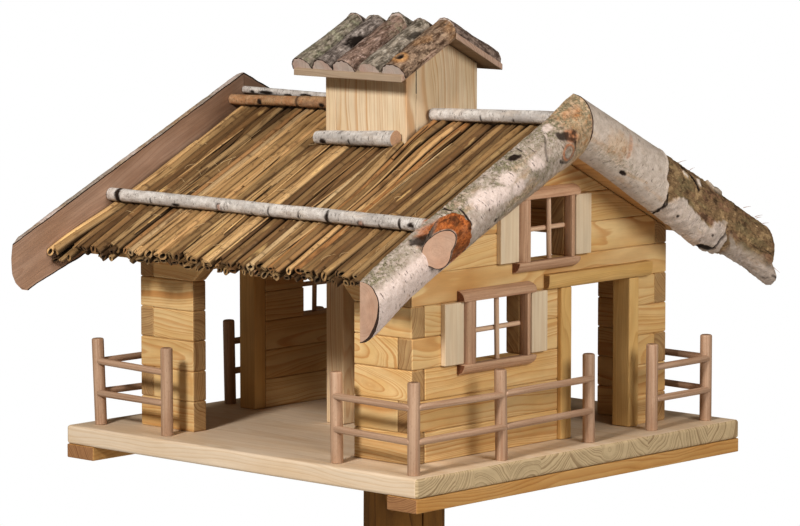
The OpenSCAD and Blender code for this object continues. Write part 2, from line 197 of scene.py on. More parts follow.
def clip(poly, a, b, c):
    """Keeps the part of a polygon where a*u + b*v <= c."""
    out = []
    n = len(poly)
    for i in range(n):
        p, q = poly[i], poly[(i + 1) % n]
        dp, dq = a * p[0] + b * p[1] - c, a * q[0] + b * q[1] - c
        if dp <= 1e-9:
            out.append(p)
        if (dp < -1e-9 and dq > 1e-9) or (dp > 1e-9 and dq < -1e-9):
            t = dp / (dp - dq)
            out.append((p[0] + t * (q[0] - p[0]), p[1] + t * (q[1] - p[1])))
    clean = []
    for p in out:
        if not clean or abs(p[0] - clean[-1][0]) + abs(p[1] - clean[-1][1]) > 1e-6:
            clean.append(p)
    if clean and abs(clean[0][0] - clean[-1][0]) + abs(clean[0][1] - clean[-1][1]) < 1e-6:
        clean.pop()
    return clean


def rect(u0, u1, v0, v1):
    return [(u0, v0), (u1, v0), (u1, v1), (u0, v1)]


def board(G, poly, axis, a0, a1, grain, seed, bev=1.4, seg=2, mi=0, end_mi=1, pith=None, tilt=None, tint=None, tone=None, turn=None, rot=False, tilt_mul=1.0):
    """A board: a polygon drawn across `axis`, drawn out from a0 to a1, with eased edges and its own place in a trunk for the grain."""
    r = rnd(seed)
    n = len(poly)
    k = AXES[axis]
    u, w = (k + 1) % 3, (k + 2) % 3
    v = np.zeros((2 * n, 3))
    for i, (pu, pw) in enumerate(poly):
        for j, a in enumerate((a0, a1)):
            v[i + j * n, k] = a
            v[i + j * n, u] = pu
            v[i + j * n, w] = pw
    faces = [list(range(n))[::-1], [n + i for i in range(n)]] + [[i, (i + 1) % n, n + (i + 1) % n, n + i] for i in range(n)]
    if bev > 0:
        bm = bmesh.new()
        vs = [bm.verts.new(x) for x in v]
        for f in faces:
            bm.faces.new([vs[i] for i in f])
        bmesh.ops.recalc_face_normals(bm, faces=bm.faces)
        bmesh.ops.bevel(bm, geom=bm.edges[:], offset=bev, offset_type="OFFSET", segments=seg, profile=0.5, affect="EDGES", clamp_overlap=True)
        bm.verts.index_update()
        v = np.array([x.co[:] for x in bm.verts])
        faces = [[x.index for x in f.verts] for f in bm.faces]
        nrm = np.array([f.normal[:] for f in bm.faces])
        bm.free()
    else:
        nrm = []
        for f in faces:
            a, b, c = v[f[0]], v[f[1]], v[f[2]]
            x = np.cross(b - a, c - b)
            nrm.append(x / (np.linalg.norm(x) + 1e-12))
        nrm = np.array(nrm)
    g = AXES[grain]
    t, s = (g + 1) % 3, (g + 2) % 3
    mis = np.where(np.abs(nrm[:, g]) > 0.7, end_mi, mi)
    c = v.mean(0)
    if pith is None:
        ang = r.uniform(0, 2 * PI)
        dist = r.choice([r.uniform(12, 30), r.uniform(30, 75), r.uniform(60, 140)], p=[0.3, 0.4, 0.3])
        pith = (dist * math.cos(ang), dist * math.sin(ang))
    if tilt is None:
        tilt = r.normal(0, 0.035, 2) * tilt_mul
    d = v - c
    gco = np.zeros_like(v)
    gco[:, 0] = d[:, t] + pith[0] + tilt[0] * d[:, g]
    gco[:, 1] = d[:, s] + pith[1] + tilt[1] * d[:, g]
    gco[:, 2] = d[:, g] + r.uniform(0, 4000)
    gco[:, 0:2] += 0
    if rot:
        v = rot180(v)
    G.add(v, faces, mis, False, gco=gco, tint=r.uniform(-1, 1) if tint is None else tint, tone=r.uniform(0, 1) if tone is None else tone)


# ------------------------------------------------------------------ materials
def lin(*c):
    c = np.array(c, float) / 255.0
    return tuple(np.where(c <= 0.04045, c / 12.92, ((c + 0.055) / 1.055) ** 2.4)) + (1.0,)


class Nodes:
    def __init__(self, name):
        self.mat = bpy.data.materials.new(name)
        self.mat.use_nodes = True
        self.nt = self.mat.node_tree
        self.nt.nodes.clear()

    def new(self, kind, **props):
        n = self.nt.nodes.new(kind)
        for k, x in props.items():
            setattr(n, k, x)
        return n

    def put(self, sock, x):
        if x is None:
            return
        if isinstance(x, bpy.types.NodeSocket):
            self.nt.links.new(x, sock)
        else:
            sock.default_value = x

    def attr(self, name, out="Fac"):
        n = self.new("ShaderNodeAttribute", attribute_type="GEOMETRY", attribute_name=name)
        return n.outputs[out]

    def pos(self):
        return self.new("ShaderNodeNewGeometry").outputs["Position"]

    def m(self, op, a, b=None, c=None, clamp=False):
        n = self.new("ShaderNodeMath", operation=op, use_clamp=clamp)
        for s, x in zip(n.inputs, (a, b, c)):
            self.put(s, x)
        return n.outputs[0]

    def v(self, op, a, b=None, scale=None):
        n = self.new("ShaderNodeVectorMath", operation=op)
        self.put(n.inputs[0], a)
        if b is not None:
            self.put(n.inputs[1], b)
        if scale is not None:
            self.put(n.inputs["Scale"], scale)
        return n.outputs["Value"] if op in ("LENGTH", "DOT_PRODUCT", "DISTANCE") else n.outputs["Vector"]

    def xyz(self, v):
        n = self.new("ShaderNodeSeparateXYZ")
        self.put(n.inputs[0], v)
        return n.outputs

    def vec(self, x, y, z):
        n = self.new("ShaderNodeCombineXYZ")
        for s, q in zip(n.inputs, (x, y, z)):
            self.put(s, q)
        return n.outputs[0]

    def noise(self, v, scale=1.0, detail=2.0, rough=0.5, dist=0.0, out="Fac", w=None, dim="3D"):
        n = self.new("ShaderNodeTexNoise", noise_dimensions=dim)
        if v is not None:
            self.put(n.inputs["Vector"], v)
        if w is not None:
            self.put(n.inputs["W"], w)
        self.put(n.inputs["Scale"], scale)
        self.put(n.inputs["Detail"], detail)
        self.put(n.inputs["Roughness"], rough)
        self.put(n.inputs["Distortion"], dist)
        return n.outputs[out]

    def voro(self, v, scale=1.0, feature="F1", out="Distance", rand=1.0):
        n = self.new("ShaderNodeTexVoronoi", feature=feature)
        self.put(n.inputs["Vector"], v)
        self.put(n.inputs["Scale"], scale)
        self.put(n.inputs["Randomness"], rand)
        return n.outputs[out]

    def ramp(self, f, stops, mode="LINEAR"):
        n = self.new("ShaderNodeValToRGB")
        n.color_ramp.interpolation = mode
        e = n.color_ramp.elements
        while len(e) < len(stops):
            e.new(0.5)
        for x, (p, c) in zip(e, stops):
            x.position = p
            x.color = c if isinstance(c, tuple) else (c, c, c, 1)
        self.put(n.inputs[0], f)
        return n.outputs[0]

    def mix(self, f, a, b, mode="MIX"):
        n = self.new("ShaderNodeMix", data_type="RGBA", blend_type=mode)
        n.clamp_factor = True
        self.put(n.inputs[0], f)
        self.put(n.inputs[6], a)
        self.put(n.inputs[7], b)
        return n.outputs[2]

    def rng(self, x, a, b, c=0.0, d=1.0, kind="SMOOTHSTEP"):
        n = self.new("ShaderNodeMapRange", interpolation_type=kind)
        for s, q in zip(n.inputs, (x, a, b, c, d)):
            self.put(s, q)
        return n.outputs[0]

    def scale_col(self, col, f):
        """Colour times a number."""
        return self.v("SCALE", col, scale=f)

    def bump(self, h, dist, strength=1.0, normal=None):
        n = self.new("ShaderNodeBump")
        n.inputs["Strength"].default_value = strength
        n.inputs["Distance"].default_value = dist
        self.put(n.inputs["Height"], h)
        if normal is not None:
            self.put(n.inputs["Normal"], normal)
        return n.outputs[0]

    def out(self, col, rough, normal=None, spec=0.35, sheen=0.0):
        b = self.new("ShaderNodeBsdfPrincipled")
        self.put(b.inputs["Base Color"], col)
        self.put(b.inputs["Roughness"], rough)
        b.inputs["Specular IOR Level"].default_value = spec
        if sheen:
            b.inputs["Sheen Weight"].default_value = sheen
        if normal is not None:
            self.put(b.inputs["Normal"], normal)
        o = self.new("ShaderNodeOutputMaterial")
        self.nt.links.new(b.outputs[0], o.inputs[0])
        return self.mat


def gained(c, g):
    """A colour with each channel multiplied."""
    return None if c is None else tuple(min(1.0, a * b) for a, b in zip(c[:3], g)) + (1.0,)


def wood(name, early, late, ring=2.6, contrast=0.8, fibre=0.10, mott=0.10, warm=None, rough=0.55, end=False, knots=(), bump=0.12, tint=0.07, hard=1.0, dirt=0.0, gain=(1, 1, 1)):
    """Softwood with growth rings round a pith: the attribute gco is a point's place in its trunk, z along the grain, in mm."""
    N = Nodes(name)
    early, late, warm = gained(early, gain), gained(late, gain), gained(warm, gain)
    g = N.attr("gco", "Vector")
    gx, gy, gz = N.xyz(g)
    tn = N.attr("tint")
    to = N.attr("tone")
    low = N.vec(N.m("MULTIPLY", gx, 1 / 55), N.m("MULTIPLY", gy, 1 / 55), N.m("MULTIPLY", gz, 1 / 190))
    wob = N.noise(low, 1.0, 2.0, 0.5, 0, "Color")
    wv = N.v("SCALE", N.v("SUBTRACT", wob, (0.5, 0.5, 0.5)), scale=26.0)
    fine = N.vec(N.m("MULTIPLY", gx, 1 / 9), N.m("MULTIPLY", gy, 1 / 9), N.m("MULTIPLY", gz, 1 / 60))
    wf = N.noise(fine, 1.0, 2.0, 0.5, 0)
    wx, wy, _ = N.xyz(wv)
    x = N.m("ADD", gx, wx)
    y = N.m("ADD", gy, wy)
    r = N.m("SQRT", N.m("ADD", N.m("MULTIPLY", x, x), N.m("MULTIPLY", y, y)))
    r = N.m("ADD", r, N.m("MULTIPLY", wf, 1.5))
    # ring widths vary with the radius and the board
    rr = N.m("DIVIDE", r, ring)
    rr = N.m("ADD", rr, N.m("MULTIPLY", N.noise(None, 1.0, 2.0, 0.5, 0, "Fac", w=N.m("ADD", N.m("MULTIPLY", r, 0.09), N.m("MULTIPLY", to, 37.0)), dim="1D"), 4.0))
    f = N.m("FRACT", rr)
    idx = N.m("FLOOR", rr)
    wn = N.new("ShaderNodeTexWhiteNoise", noise_dimensions="1D")
    N.put(wn.inputs["W"], N.m("ADD", idx, N.m("MULTIPLY", to, 91.0)))
    per = wn.outputs["Value"]
    lm = N.ramp(f, [(0.0, 0.0), (0.30, 0.08), (0.62, 0.45), (0.84, 1.0), (0.93, 0.9), (1.0, 0.0)])
    lm = N.m("POWER", lm, hard)
    amt = N.m("MULTIPLY", lm, N.m("MULTIPLY_ADD", per, 0.6 * contrast, 0.4 * contrast))
    big = N.noise(N.vec(N.m("MULTIPLY", gx, 1 / 28), N.m("MULTIPLY", gy, 1 / 28), N.m("MULTIPLY", gz, 1 / 110)), 1.0, 2.0, 0.55)
    e2 = N.mix(N.rng(big, 0.35, 0.7), early, warm or early)
    col = N.mix(amt, e2, late)
    # fibres and pores
    fib = N.noise(N.vec(N.m("MULTIPLY", gx, 1.3), N.m("MULTIPLY", gy, 1.3), N.m("MULTIPLY", gz, 0.03 if not end else 0.2)), 1.0, 3.0, 0.65)
    mo = N.noise(N.vec(N.m("MULTIPLY", gx, 1 / 7), N.m("MULTIPLY", gy, 1 / 7), N.m("MULTIPLY", gz, 1 / 22)), 1.0, 2.0, 0.5)
    k = N.m("MULTIPLY_ADD", N.m("SUBTRACT", fib, 0.5), 2 * fibre, 1.0)
    k = N.m("ADD", k, N.m("MULTIPLY", N.m("SUBTRACT", mo, 0.5), 2 * mott))
    k = N.m("ADD", k, N.m("MULTIPLY", tn, tint))
    col = N.scale_col(col, k)
    h = N.m("ADD", N.m("MULTIPLY", lm, 0.6), N.m("MULTIPLY", fib, 0.9))
    p = N.v("SCALE", N.pos(), scale=1000.0)
    for (cx, cy, cz, rad) in knots:
        q = N.v("SUBTRACT", p, (cx, cy, cz + FZ))
        d = N.v("LENGTH", N.v("MULTIPLY", q, (1, 1, 1)))
        msk = N.rng(d, rad * 0.55, rad, 1.0, 0.0)
        col = N.mix(msk, col, lin(92, 55, 30))
        halo = N.rng(d, rad, rad * 3.2, 0.35, 0.0)
        col = N.mix(halo, col, late)
    if dirt:
        dn = N.noise(N.v("SCALE", p, scale=1 / 14), 1.0, 4.0, 0.6)
        col = N.mix(N.rng(dn, 0.5, 0.75, 0.0, dirt), col, lin(120, 105, 80))
    nr = N.bump(h, 0.00035, bump * 3.0)
    ro = N.m("MULTIPLY_ADD", fib, 0.15, rough - 0.07)
    return N.out(col, ro, nr, 0.30)


def fine_wood(name, base, dark, rough=0.5, fleck=0.5, tint=0.06, bump=0.15, gain=(1, 1, 1)):
    """Beech and thin pale strips: close grain with short rays."""
    N = Nodes(name)
    base, dark = gained(base, gain), gained(dark, gain)
    g = N.attr("gco", "Vector")
    gx, gy, gz = N.xyz(g)
    tn = N.attr("tint")
    st = N.noise(N.vec(N.m("MULTIPLY", gx, 0.55), N.m("MULTIPLY", gy, 0.55), N.m("MULTIPLY", gz, 0.012)), 1.0, 4.0, 0.6)
    fl = N.noise(N.vec(N.m("MULTIPLY", gx, 2.6), N.m("MULTIPLY", gy, 2.6), N.m("MULTIPLY", gz, 0.33)), 1.0, 1.0, 0.5)
    md = N.noise(N.vec(N.m("MULTIPLY", gx, 0.09), N.m("MULTIPLY", gy, 0.09), N.m("MULTIPLY", gz, 0.02)), 1.0, 2.0, 0.5)
    col = N.mix(N.rng(st, 0.35, 0.72), base, dark)
    col = N.mix(N.m("MULTIPLY", N.rng(fl, 0.60, 0.72), fleck), col, tuple(0.72 * c for c in dark[:3]) + (1.0,))
    k = N.m("ADD", N.m("MULTIPLY_ADD", N.m("SUBTRACT", md, 0.5), 0.25, 1.0), N.m("MULTIPLY", tn, tint))
    col = N.scale_col(col, k)
    nr = N.bump(N.m("ADD", st, N.m("MULTIPLY", fl, 0.5)), 0.0003, bump * 3)
    return N.out(col, N.m("MULTIPLY_ADD", st, 0.2, rough - 0.1), nr, 0.3)


WALL_E, WALL_L, WALL_W = lin(240, 208, 152), lin(206, 146, 82), lin(232, 192, 128)
M = {}
M["wall"] = wood("wall_pine", WALL_E, WALL_L, ring=3.1, contrast=0.85, warm=WALL_W, fibre=0.09, tint=0.06, gain=(0.86, 0.88, 0.94))
M["wall_end"] = wood("wall_pine_end", lin(205, 170, 120), lin(150, 105, 62), ring=2.6, contrast=0.85, end=True, warm=lin(196, 156, 104), rough=0.75, tint=0.06, gain=(0.8, 0.82, 0.88))
M["plate"] = wood("floor_pine", lin(232, 208, 172), lin(208, 172, 124), ring=3.4, contrast=0.55, warm=lin(226, 198, 158), fibre=0.05, mott=0.06, tint=0.03, gain=(0.9, 0.95, 1.12))
M["plate_end"] = wood("floor_pine_end", lin(206, 182, 144), lin(146, 118, 84), ring=3.2, contrast=0.9, end=True, rough=0.75, tint=0.04, gain=(0.92, 0.95, 1.0))
M["cleat"] = wood("cleat_pine", lin(224, 176, 112), lin(190, 128, 66), ring=2.6, contrast=0.7, warm=lin(214, 160, 92), tint=0.05, gain=(0.76, 0.8, 0.86))
M["cleat_end"] = wood("cleat_pine_end", lin(196, 146, 100), lin(140, 92, 58), ring=1.9, contrast=0.95, end=True, rough=0.8, gain=(0.68, 0.71, 0.75))
M["door"] = wood("door_pine", lin(228, 186, 120), lin(198, 146, 80), ring=2.6, contrast=0.55, warm=lin(220, 174, 104), tint=0.04, gain=(0.91, 0.98, 1.12))
M["door_end"] = wood("door_pine_end", lin(176, 134, 84), lin(120, 84, 48), ring=2.0, contrast=0.8, end=True, rough=0.8, gain=(0.84, 0.88, 0.95))
M["turret"] = wood("turret_pine", lin(240, 208, 156), lin(208, 152, 92), ring=3.6, contrast=0.8, warm=lin(234, 198, 142), tint=0.04, hard=1.3, gain=(0.90, 1.03, 1.42))
M["turret_end"] = wood("turret_pine_end", lin(205, 170, 120), lin(150, 105, 62), ring=2.8, contrast=0.9, end=True, rough=0.75, gain=(0.92, 0.98, 1.15))
M["roofb"] = wood("roof_board_pine", lin(216, 172, 116), lin(178, 122, 72), ring=2.8, contrast=0.7, warm=lin(206, 158, 98), rough=0.7, gain=(0.9, 0.92, 0.95))
M["roofb_end"] = wood("roof_board_pine_end", lin(196, 156, 112), lin(150, 108, 72), ring=2.2, contrast=0.8, end=True, rough=0.8, gain=(0.9, 0.92, 0.95))
M["troof"] = wood("turret_roof_pine", lin(196, 166, 140), lin(160, 124, 98), ring=2.8, contrast=0.5, warm=lin(188, 156, 128), rough=0.7, gain=(0.82, 0.92, 0.98))
M["stand"] = wood("stand_wood", lin(108, 78, 48), lin(66, 44, 26), ring=3.4, contrast=0.8, warm=lin(92, 66, 42), fibre=0.22, mott=0.2, rough=0.62, bump=0.3, hard=0.8, gain=(2.6, 2.6, 1.7))
M["stand_end"] = wood("stand_wood_end", lin(104, 76, 50), lin(58, 40, 26), ring=2.6, contrast=0.9, end=True, rough=0.8, gain=(2.4, 2.4, 1.7))
M["trim"] = fine_wood("beech_trim", lin(200, 160, 134), lin(172, 128, 104), fleck=0.45, gain=(1.1, 1.22, 1.2))
M["bar"] = fine_wood("bar_wood", lin(226, 196, 168), lin(196, 162, 134), fleck=0.3)
M["trim_end"] = fine_wood("beech_trim_end", lin(150, 104, 76), lin(112, 74, 52), rough=0.7, fleck=0.6, gain=(1.0, 1.0, 1.0))
M["fence"] = fine_wood("beech_fence", lin(212, 176, 152), lin(184, 142, 116), fleck=0.5, gain=(0.78, 0.82, 0.8))
M["fence_end"] = fine_wood("beech_fence_end", lin(180, 142, 116), lin(140, 104, 82), rough=0.75, fleck=0.6, gain=(0.82, 0.86, 0.84))
M["shutter"] = fine_wood("shutter_wood", lin(226, 202, 164), lin(216, 188, 148), fleck=0.12, tint=0.04, gain=(1.0, 1.08, 1.28))
M["cutface"] = wood("sawn_birch", lin(222, 190, 166), lin(196, 154, 126), ring=3.4, contrast=0.4, warm=lin(214, 176, 150), rough=0.75, fibre=0.14, mott=0.2, gain=(0.68, 0.66, 0.66))
M["cutflat"] = wood("split_birch", lin(190, 150, 122), lin(150, 108, 82), ring=4.4, contrast=0.5, warm=lin(176, 134, 104), rough=0.7, fibre=0.2, mott=0.16, gain=(0.84, 0.95, 1.08))
# dark bark rim of sawn ends; also the thin strip of painted shade in the turret's open joint
M["rim"] = fine_wood("bark_rim_and_joint_shade", lin(70, 52, 42), lin(38, 28, 24), rough=0.9, fleck=0.8)


def reed_mat():
    N = Nodes("reed_thatch")
    g = N.attr("gco", "Vector")
    gx, gy, gz = N.xyz(g)
    tn, to, ins, band = N.attr("tint"), N.attr("tone"), N.attr("m1"), N.attr("m2")
    base = N.ramp(to, [(0.0, lin(78, 60, 40)), (0.14, lin(118, 92, 62)), (0.32, lin(156, 126, 86)), (0.58, lin(182, 150, 106)), (0.82, lin(202, 170, 124)), (0.93, lin(160, 116, 72)), (1.0, lin(224, 200, 158))])
    st = N.noise(N.vec(N.m("MULTIPLY", gx, 1.4), N.m("MULTIPLY", gy, 1.4), N.m("MULTIPLY", gz, 0.02)), 1.0, 3.0, 0.6)
    pa = N.noise(N.vec(N.m("MULTIPLY", gx, 0.12), N.m("MULTIPLY", gy, 0.12), N.m("MULTIPLY", gz, 0.022)), 1.0, 3.0, 0.6)
    sp = N.noise(N.vec(N.m("MULTIPLY", gx, 0.5), N.m("MULTIPLY", gy, 0.5), N.m("MULTIPLY", gz, 0.16)), 1.0, 2.0, 0.6)
    col = N.mix(N.rng(st, 0.30, 0.70, 0.45, 0.0), base, lin(132, 92, 52))
    col = N.mix(N.rng(pa, 0.54, 0.68, 0.0, 0.70), col, lin(96, 68, 40))
    col = N.mix(N.rng(pa, 0.30, 0.40, 0.5, 0.0), col, lin(226, 192, 134))
    col = N.mix(N.rng(sp, 0.60, 0.72, 0.0, 0.55), col, lin(78, 54, 34))
    # m3 (gap_shade): painted shade, the lower flanks of each reed and the lower layer pulled toward near black in the
    # gaps
    col = N.mix(N.m("MULTIPLY", N.attr("m3"), 0.86), col, lin(46, 28, 14))
    col = N.mix(N.m("MULTIPLY", band, 0.75), col, lin(84, 58, 34))
    k = N.m("MULTIPLY_ADD", tn, 0.12, 1.0)
    col = N.scale_col(col, k)
    # ins (m1): painted shade inside the hollow reed ends, the bore and the disc that closes it near black; the other
    # end faces a little darker
    col = N.mix(N.rng(ins, 0.1, 0.9, 0.0, 0.96), col, lin(34, 22, 12))
    h = N.m("ADD", st, N.m("MULTIPLY", sp, 0.4))
    return N.out(col, N.m("MULTIPLY_ADD", st, 0.25, 0.42), N.bump(h, 0.0003, 0.7), 0.4)


def bark_mat(name, base, alt, grey, lent=0.8, lichen=0.8, lent_scale=1.0, rough=0.78, yellow=0.35, freckle=0.5, speck=0.6, relief=0.85):
    """Pale bark. m1 dark scars, m2 raw orange-brown bark, m3 lichen, m4 bark peeled off, m5 bare pinkish white, m6 yellow stain."""
    N = Nodes(name)
    g = N.attr("gco", "Vector")
    gx, gy, gz = N.xyz(g)
    m1, m2, m3, m4, m5, m6 = [N.attr("m%d" % i) for i in range(1, 7)]
    big = N.noise(N.vec(N.m("MULTIPLY", gx, 0.05), N.m("MULTIPLY", gy, 0.05), N.m("MULTIPLY", gz, 0.018)), 1.0, 3.0, 0.6)
    mid = N.noise(N.v("SCALE", g, scale=0.16), 1.0, 4.0, 0.6)
    fin = N.noise(N.v("SCALE", g, scale=0.9), 1.0, 3.0, 0.6)
    gra = N.noise(N.v("SCALE", g, scale=2.1), 1.0, 2.0, 0.6)
    col = N.mix(N.rng(mid, 0.36, 0.64), alt, base)
    col = N.mix(N.rng(big, 0.50, 0.70, 0.0, 0.8), col, grey)
    ye = N.noise(N.vec(N.m("MULTIPLY", gx, 0.07), N.m("MULTIPLY", gy, 0.07), N.m("MULTIPLY_ADD", gz, 0.02, 40.0)), 1.0, 3.0, 0.6)
    yf = N.m("MAXIMUM", N.rng(ye, 0.54, 0.68, 0.0, yellow), N.m("MULTIPLY", m6, N.rng(mid, 0.25, 0.6, 0.95, 0.55)))
    col = N.mix(yf, col, N.ramp(mid, [(0.35, lin(178, 132, 82)), (0.65, lin(212, 176, 122))]))
    # bare patches rubbed to the pinkish inner bark
    bare = N.m("MULTIPLY", m5, N.rng(mid, 0.30, 0.50, 0.55, 1.0))
    col = N.mix(bare, col, N.ramp(fin, [(0.3, lin(206, 186, 176)), (0.7, lin(226, 212, 206))]))
    inv = N.m("SUBTRACT", 1.0, bare)
    col = N.mix(N.m("MULTIPLY", N.rng(fin, 0.56, 0.70, 0.0, freckle), inv), col, lin(126, 106, 94))
    col = N.mix(N.m("MULTIPLY", N.rng(gra, 0.60, 0.72, 0.0, speck), inv), col, lin(104, 86, 76))
    col = N.mix(N.rng(gra, 0.28, 0.38, 0.55, 0.0), col, lin(236, 226, 218))
    # lenticels: short dark dashes across the stem
    le = N.noise(N.vec(N.m("MULTIPLY", gx, 0.15 * lent_scale), N.m("MULTIPLY", gy, 0.15 * lent_scale), N.m("MULTIPLY", gz, 1.0 * lent_scale)), 1.0, 1.0, 0.4)
    gate = N.noise(N.v("SCALE", g, scale=0.13), 1.0, 1.0, 0.5)
    lm = N.m("MULTIPLY", N.rng(le, 0.64, 0.70), N.rng(gate, 0.42, 0.52))
    col = N.mix(N.m("MULTIPLY", lm, lent), col, lin(80, 64, 56))
    # lichen: close grey-green mottling with darker specks
    li = N.voro(N.v("SCALE", g, scale=0.62), 1.0)
    ln = N.noise(N.v("SCALE", g, scale=0.30), 1.0, 4.0, 0.65)
    lf = N.m("MULTIPLY", N.rng(ln, 0.42, 0.58), m3)
    col = N.mix(N.m("MULTIPLY", lf, lichen), col, N.ramp(fin, [(0.32, lin(88, 82, 64)), (0.5, lin(138, 132, 104)), (0.68, lin(170, 160, 134))]))
    lk = N.m("MULTIPLY", N.m("MULTIPLY", N.rng(li, 0.24, 0.40, 1.0, 0.0), N.rng(ln, 0.38, 0.50)), m3)
    col = N.mix(N.m("MULTIPLY", lk, lichen), col, lin(92, 84, 64))
    # raw bark
    rn = N.noise(N.vec(N.m("MULTIPLY", gx, 0.5), N.m("MULTIPLY", gy, 0.5), N.m("MULTIPLY", gz, 0.16)), 1.0, 4.0, 0.65)
    raw = N.ramp(rn, [(0.25, lin(92, 50, 26)), (0.42, lin(164, 92, 46)), (0.56, lin(206, 128, 70)), (0.75, lin(124, 70, 38))])
    col = N.mix(m2, col, raw)
    pe = N.noise(N.vec(N.m("MULTIPLY", gx, 0.30), N.m("MULTIPLY", gy, 0.30), N.m("MULTIPLY", gz, 0.055)), 1.0, 5.0, 0.7)
    pl = N.noise(N.vec(N.m("MULTIPLY", gx, 0.10), N.m("MULTIPLY", gy, 0.10), N.m("MULTIPLY_ADD", gz, 0.03, 11.0)), 1.0, 3.0, 0.6)
    peel = N.ramp(pe, [(0.28, lin(46, 34, 26)), (0.38, lin(104, 84, 62)), (0.48, lin(150, 124, 92)), (0.58, lin(116, 92, 68)), (0.72, lin(206, 178, 140))])
    peel = N.mix(N.rng(pl, 0.52, 0.62, 0.0, 0.4), peel, lin(128, 120, 88))
    peel = N.mix(N.rng(pl, 0.36, 0.46, 0.5, 0.0), peel, lin(150, 112, 92))
    iso = N.noise(N.vec(N.m("MULTIPLY", gx, 0.10), N.m("MULTIPLY", gy, 0.10), N.m("MULTIPLY", gz, 0.07)), 1.0, 5.0, 0.68)
    peel = N.mix(N.rng(iso, 0.54, 0.62, 0.0, 0.6), peel, lin(190, 162, 124))
    peel = N.mix(N.rng(iso, 0.38, 0.46, 0.7, 0.0), peel, lin(72, 52, 38))
    col = N.mix(m4, col, peel)
    col = N.mix(m1, col, N.ramp(fin, [(0.3, lin(22, 16, 14)), (0.7, lin(62, 46, 36))]))
    h = N.m("ADD", N.m("ADD", N.m("MULTIPLY", mid, 1.2), N.m("MULTIPLY", fin, 0.6)), N.m("MULTIPLY", N.m("ADD", N.m("MULTIPLY", rn, m2), N.m("MULTIPLY", pe, m4)), 3.2))
    h = N.m("ADD", h, N.m("MULTIPLY", N.m("MULTIPLY", lf, fin), 1.2))
    h = N.m("SUBTRACT", h, N.m("MULTIPLY", lm, 0.8))
    return N.out(col, N.m("MULTIPLY_ADD", fin, 0.2, rough - 0.1), N.bump(h, 0.0008, relief), 0.22)


def branch_mat():
    """Darker rough bark of the split branches on the turret; tone picks the branch's colour."""
    N = Nodes("branch_bark")
    g = N.attr("gco", "Vector")
    gx, gy, gz = N.xyz(g)
    to, m1, m2, m3 = N.attr("tone"), N.attr("m1"), N.attr("m2"), N.attr("m3")
    base = N.ramp(to, [(0.0, lin(158, 147, 133)), (0.25, lin(152, 140, 132)), (0.5, lin(158, 134, 120)), (0.75, lin(168, 156, 142)), (1.0, lin(158, 134, 114))])
    dark = N.ramp(to, [(0.0, lin(100, 92, 78)), (0.25, lin(94, 84, 78)), (0.5, lin(102, 80, 68)), (0.75, lin(104, 95, 82)), (1.0, lin(94, 72, 56))])
    lite = N.ramp(to, [(0.0, lin(206, 199, 182)), (0.25, lin(208, 196, 188)), (0.5, lin(214, 190, 178)), (0.75, lin(218, 208, 194)), (1.0, lin(210, 184, 158))])
    fi = N.noise(N.vec(N.m("MULTIPLY", gx, 0.24), N.m("MULTIPLY", gy, 0.24), N.m("MULTIPLY", gz, 0.09)), 1.0, 5.0, 0.65)
    fn = N.noise(N.v("SCALE", g, scale=0.36), 1.0, 5.0, 0.68)
    pa = N.noise(N.v("SCALE", g, scale=0.10), 1.0, 3.0, 0.6)
    col = N.mix(N.rng(fi, 0.38, 0.60), dark, base)
    col = N.mix(N.rng(fn, 0.52, 0.68, 0.0, 0.60), col, lite)
    col = N.mix(N.rng(pa, 0.54, 0.66, 0.0, 0.45), col, lite)
    col = N.mix(N.rng(fn, 0.30, 0.42, 0.45, 0.0), col, lin(66, 54, 46))
    col = N.mix(N.m("MULTIPLY", N.rng(pa, 0.44, 0.60, 0.0, 0.6), m3), col, N.ramp(fn, [(0.35, lin(112, 112, 84)), (0.65, lin(174, 172, 144))]))
    col = N.mix(m2, col, N.ramp(fn, [(0.3, lin(140, 98, 64)), (0.7, lin(214, 168, 116))]))
    col = N.mix(m1, col, lin(38, 29, 24))
    h = N.m("ADD", N.m("MULTIPLY", fi, 2.0), fn)
    return N.out(col, 0.85, N.bump(h, 0.0011, 0.9), 0.2)


M["reed"] = reed_mat()
M["birch"] = bark_mat("birch_bark", lin(198, 184, 174), lin(174, 158, 146), lin(160, 146, 134), lent=0.8, lichen=0.9, relief=0.75)
M["birch_grey"] = bark_mat("birch_bark_grey", lin(208, 196, 184), lin(190, 176, 162), lin(172, 160, 150), lent=0.5, lichen=0.45, yellow=0.45, freckle=0.2, speck=0.2, relief=0.45)
M["birch_white"] = bark_mat("birch_bark_white", lin(226, 220, 215), lin(204, 196, 190), lin(176, 170, 166), lent=0.9, lichen=0.2, lent_scale=1.6, yellow=0.15, freckle=0.4)
M["rod_brown"] = bark_mat("birch_bark_brown", lin(206, 166, 128), lin(182, 134, 94), lin(158, 128, 106), lent=0.9, lichen=0.5, lent_scale=1.6, yellow=0.5, freckle=0.7)
M["branch"] = branch_mat()
M["branch_cut"] = wood("sawn_branch", lin(208, 190, 176), lin(176, 148, 130), ring=2.4, contrast=0.5, warm=lin(206, 172, 154), rough=0.8, fibre=0.16, mott=0.16, end=True, gain=(0.90, 0.98, 1.06))
M["peeled"] = wood("peeled_cut", lin(200, 164, 134), lin(154, 112, 84), ring=2.6, contrast=0.5, warm=lin(190, 150, 120), rough=0.75, fibre=0.2, mott=0.25, end=True)
M["troof_end"] = wood("turret_roof_pine_end", lin(208, 168, 144), lin(160, 112, 88), ring=2.4, contrast=0.7, end=True, rough=0.8, gain=(0.80, 0.92, 1.0))


# ------------------------------------------------------------------ turned and round pieces
def frame_of(d):
    d = np.asarray(d, float)
    d = d / np.linalg.norm(d)
    h = np.array([0, 0, 1.0]) if abs(d[2]) < 0.9 else np.array([1.0, 0, 0])
    a = np.cross(h, d)
    a /= np.linalg.norm(a)
    return a, np.cross(d, a), d


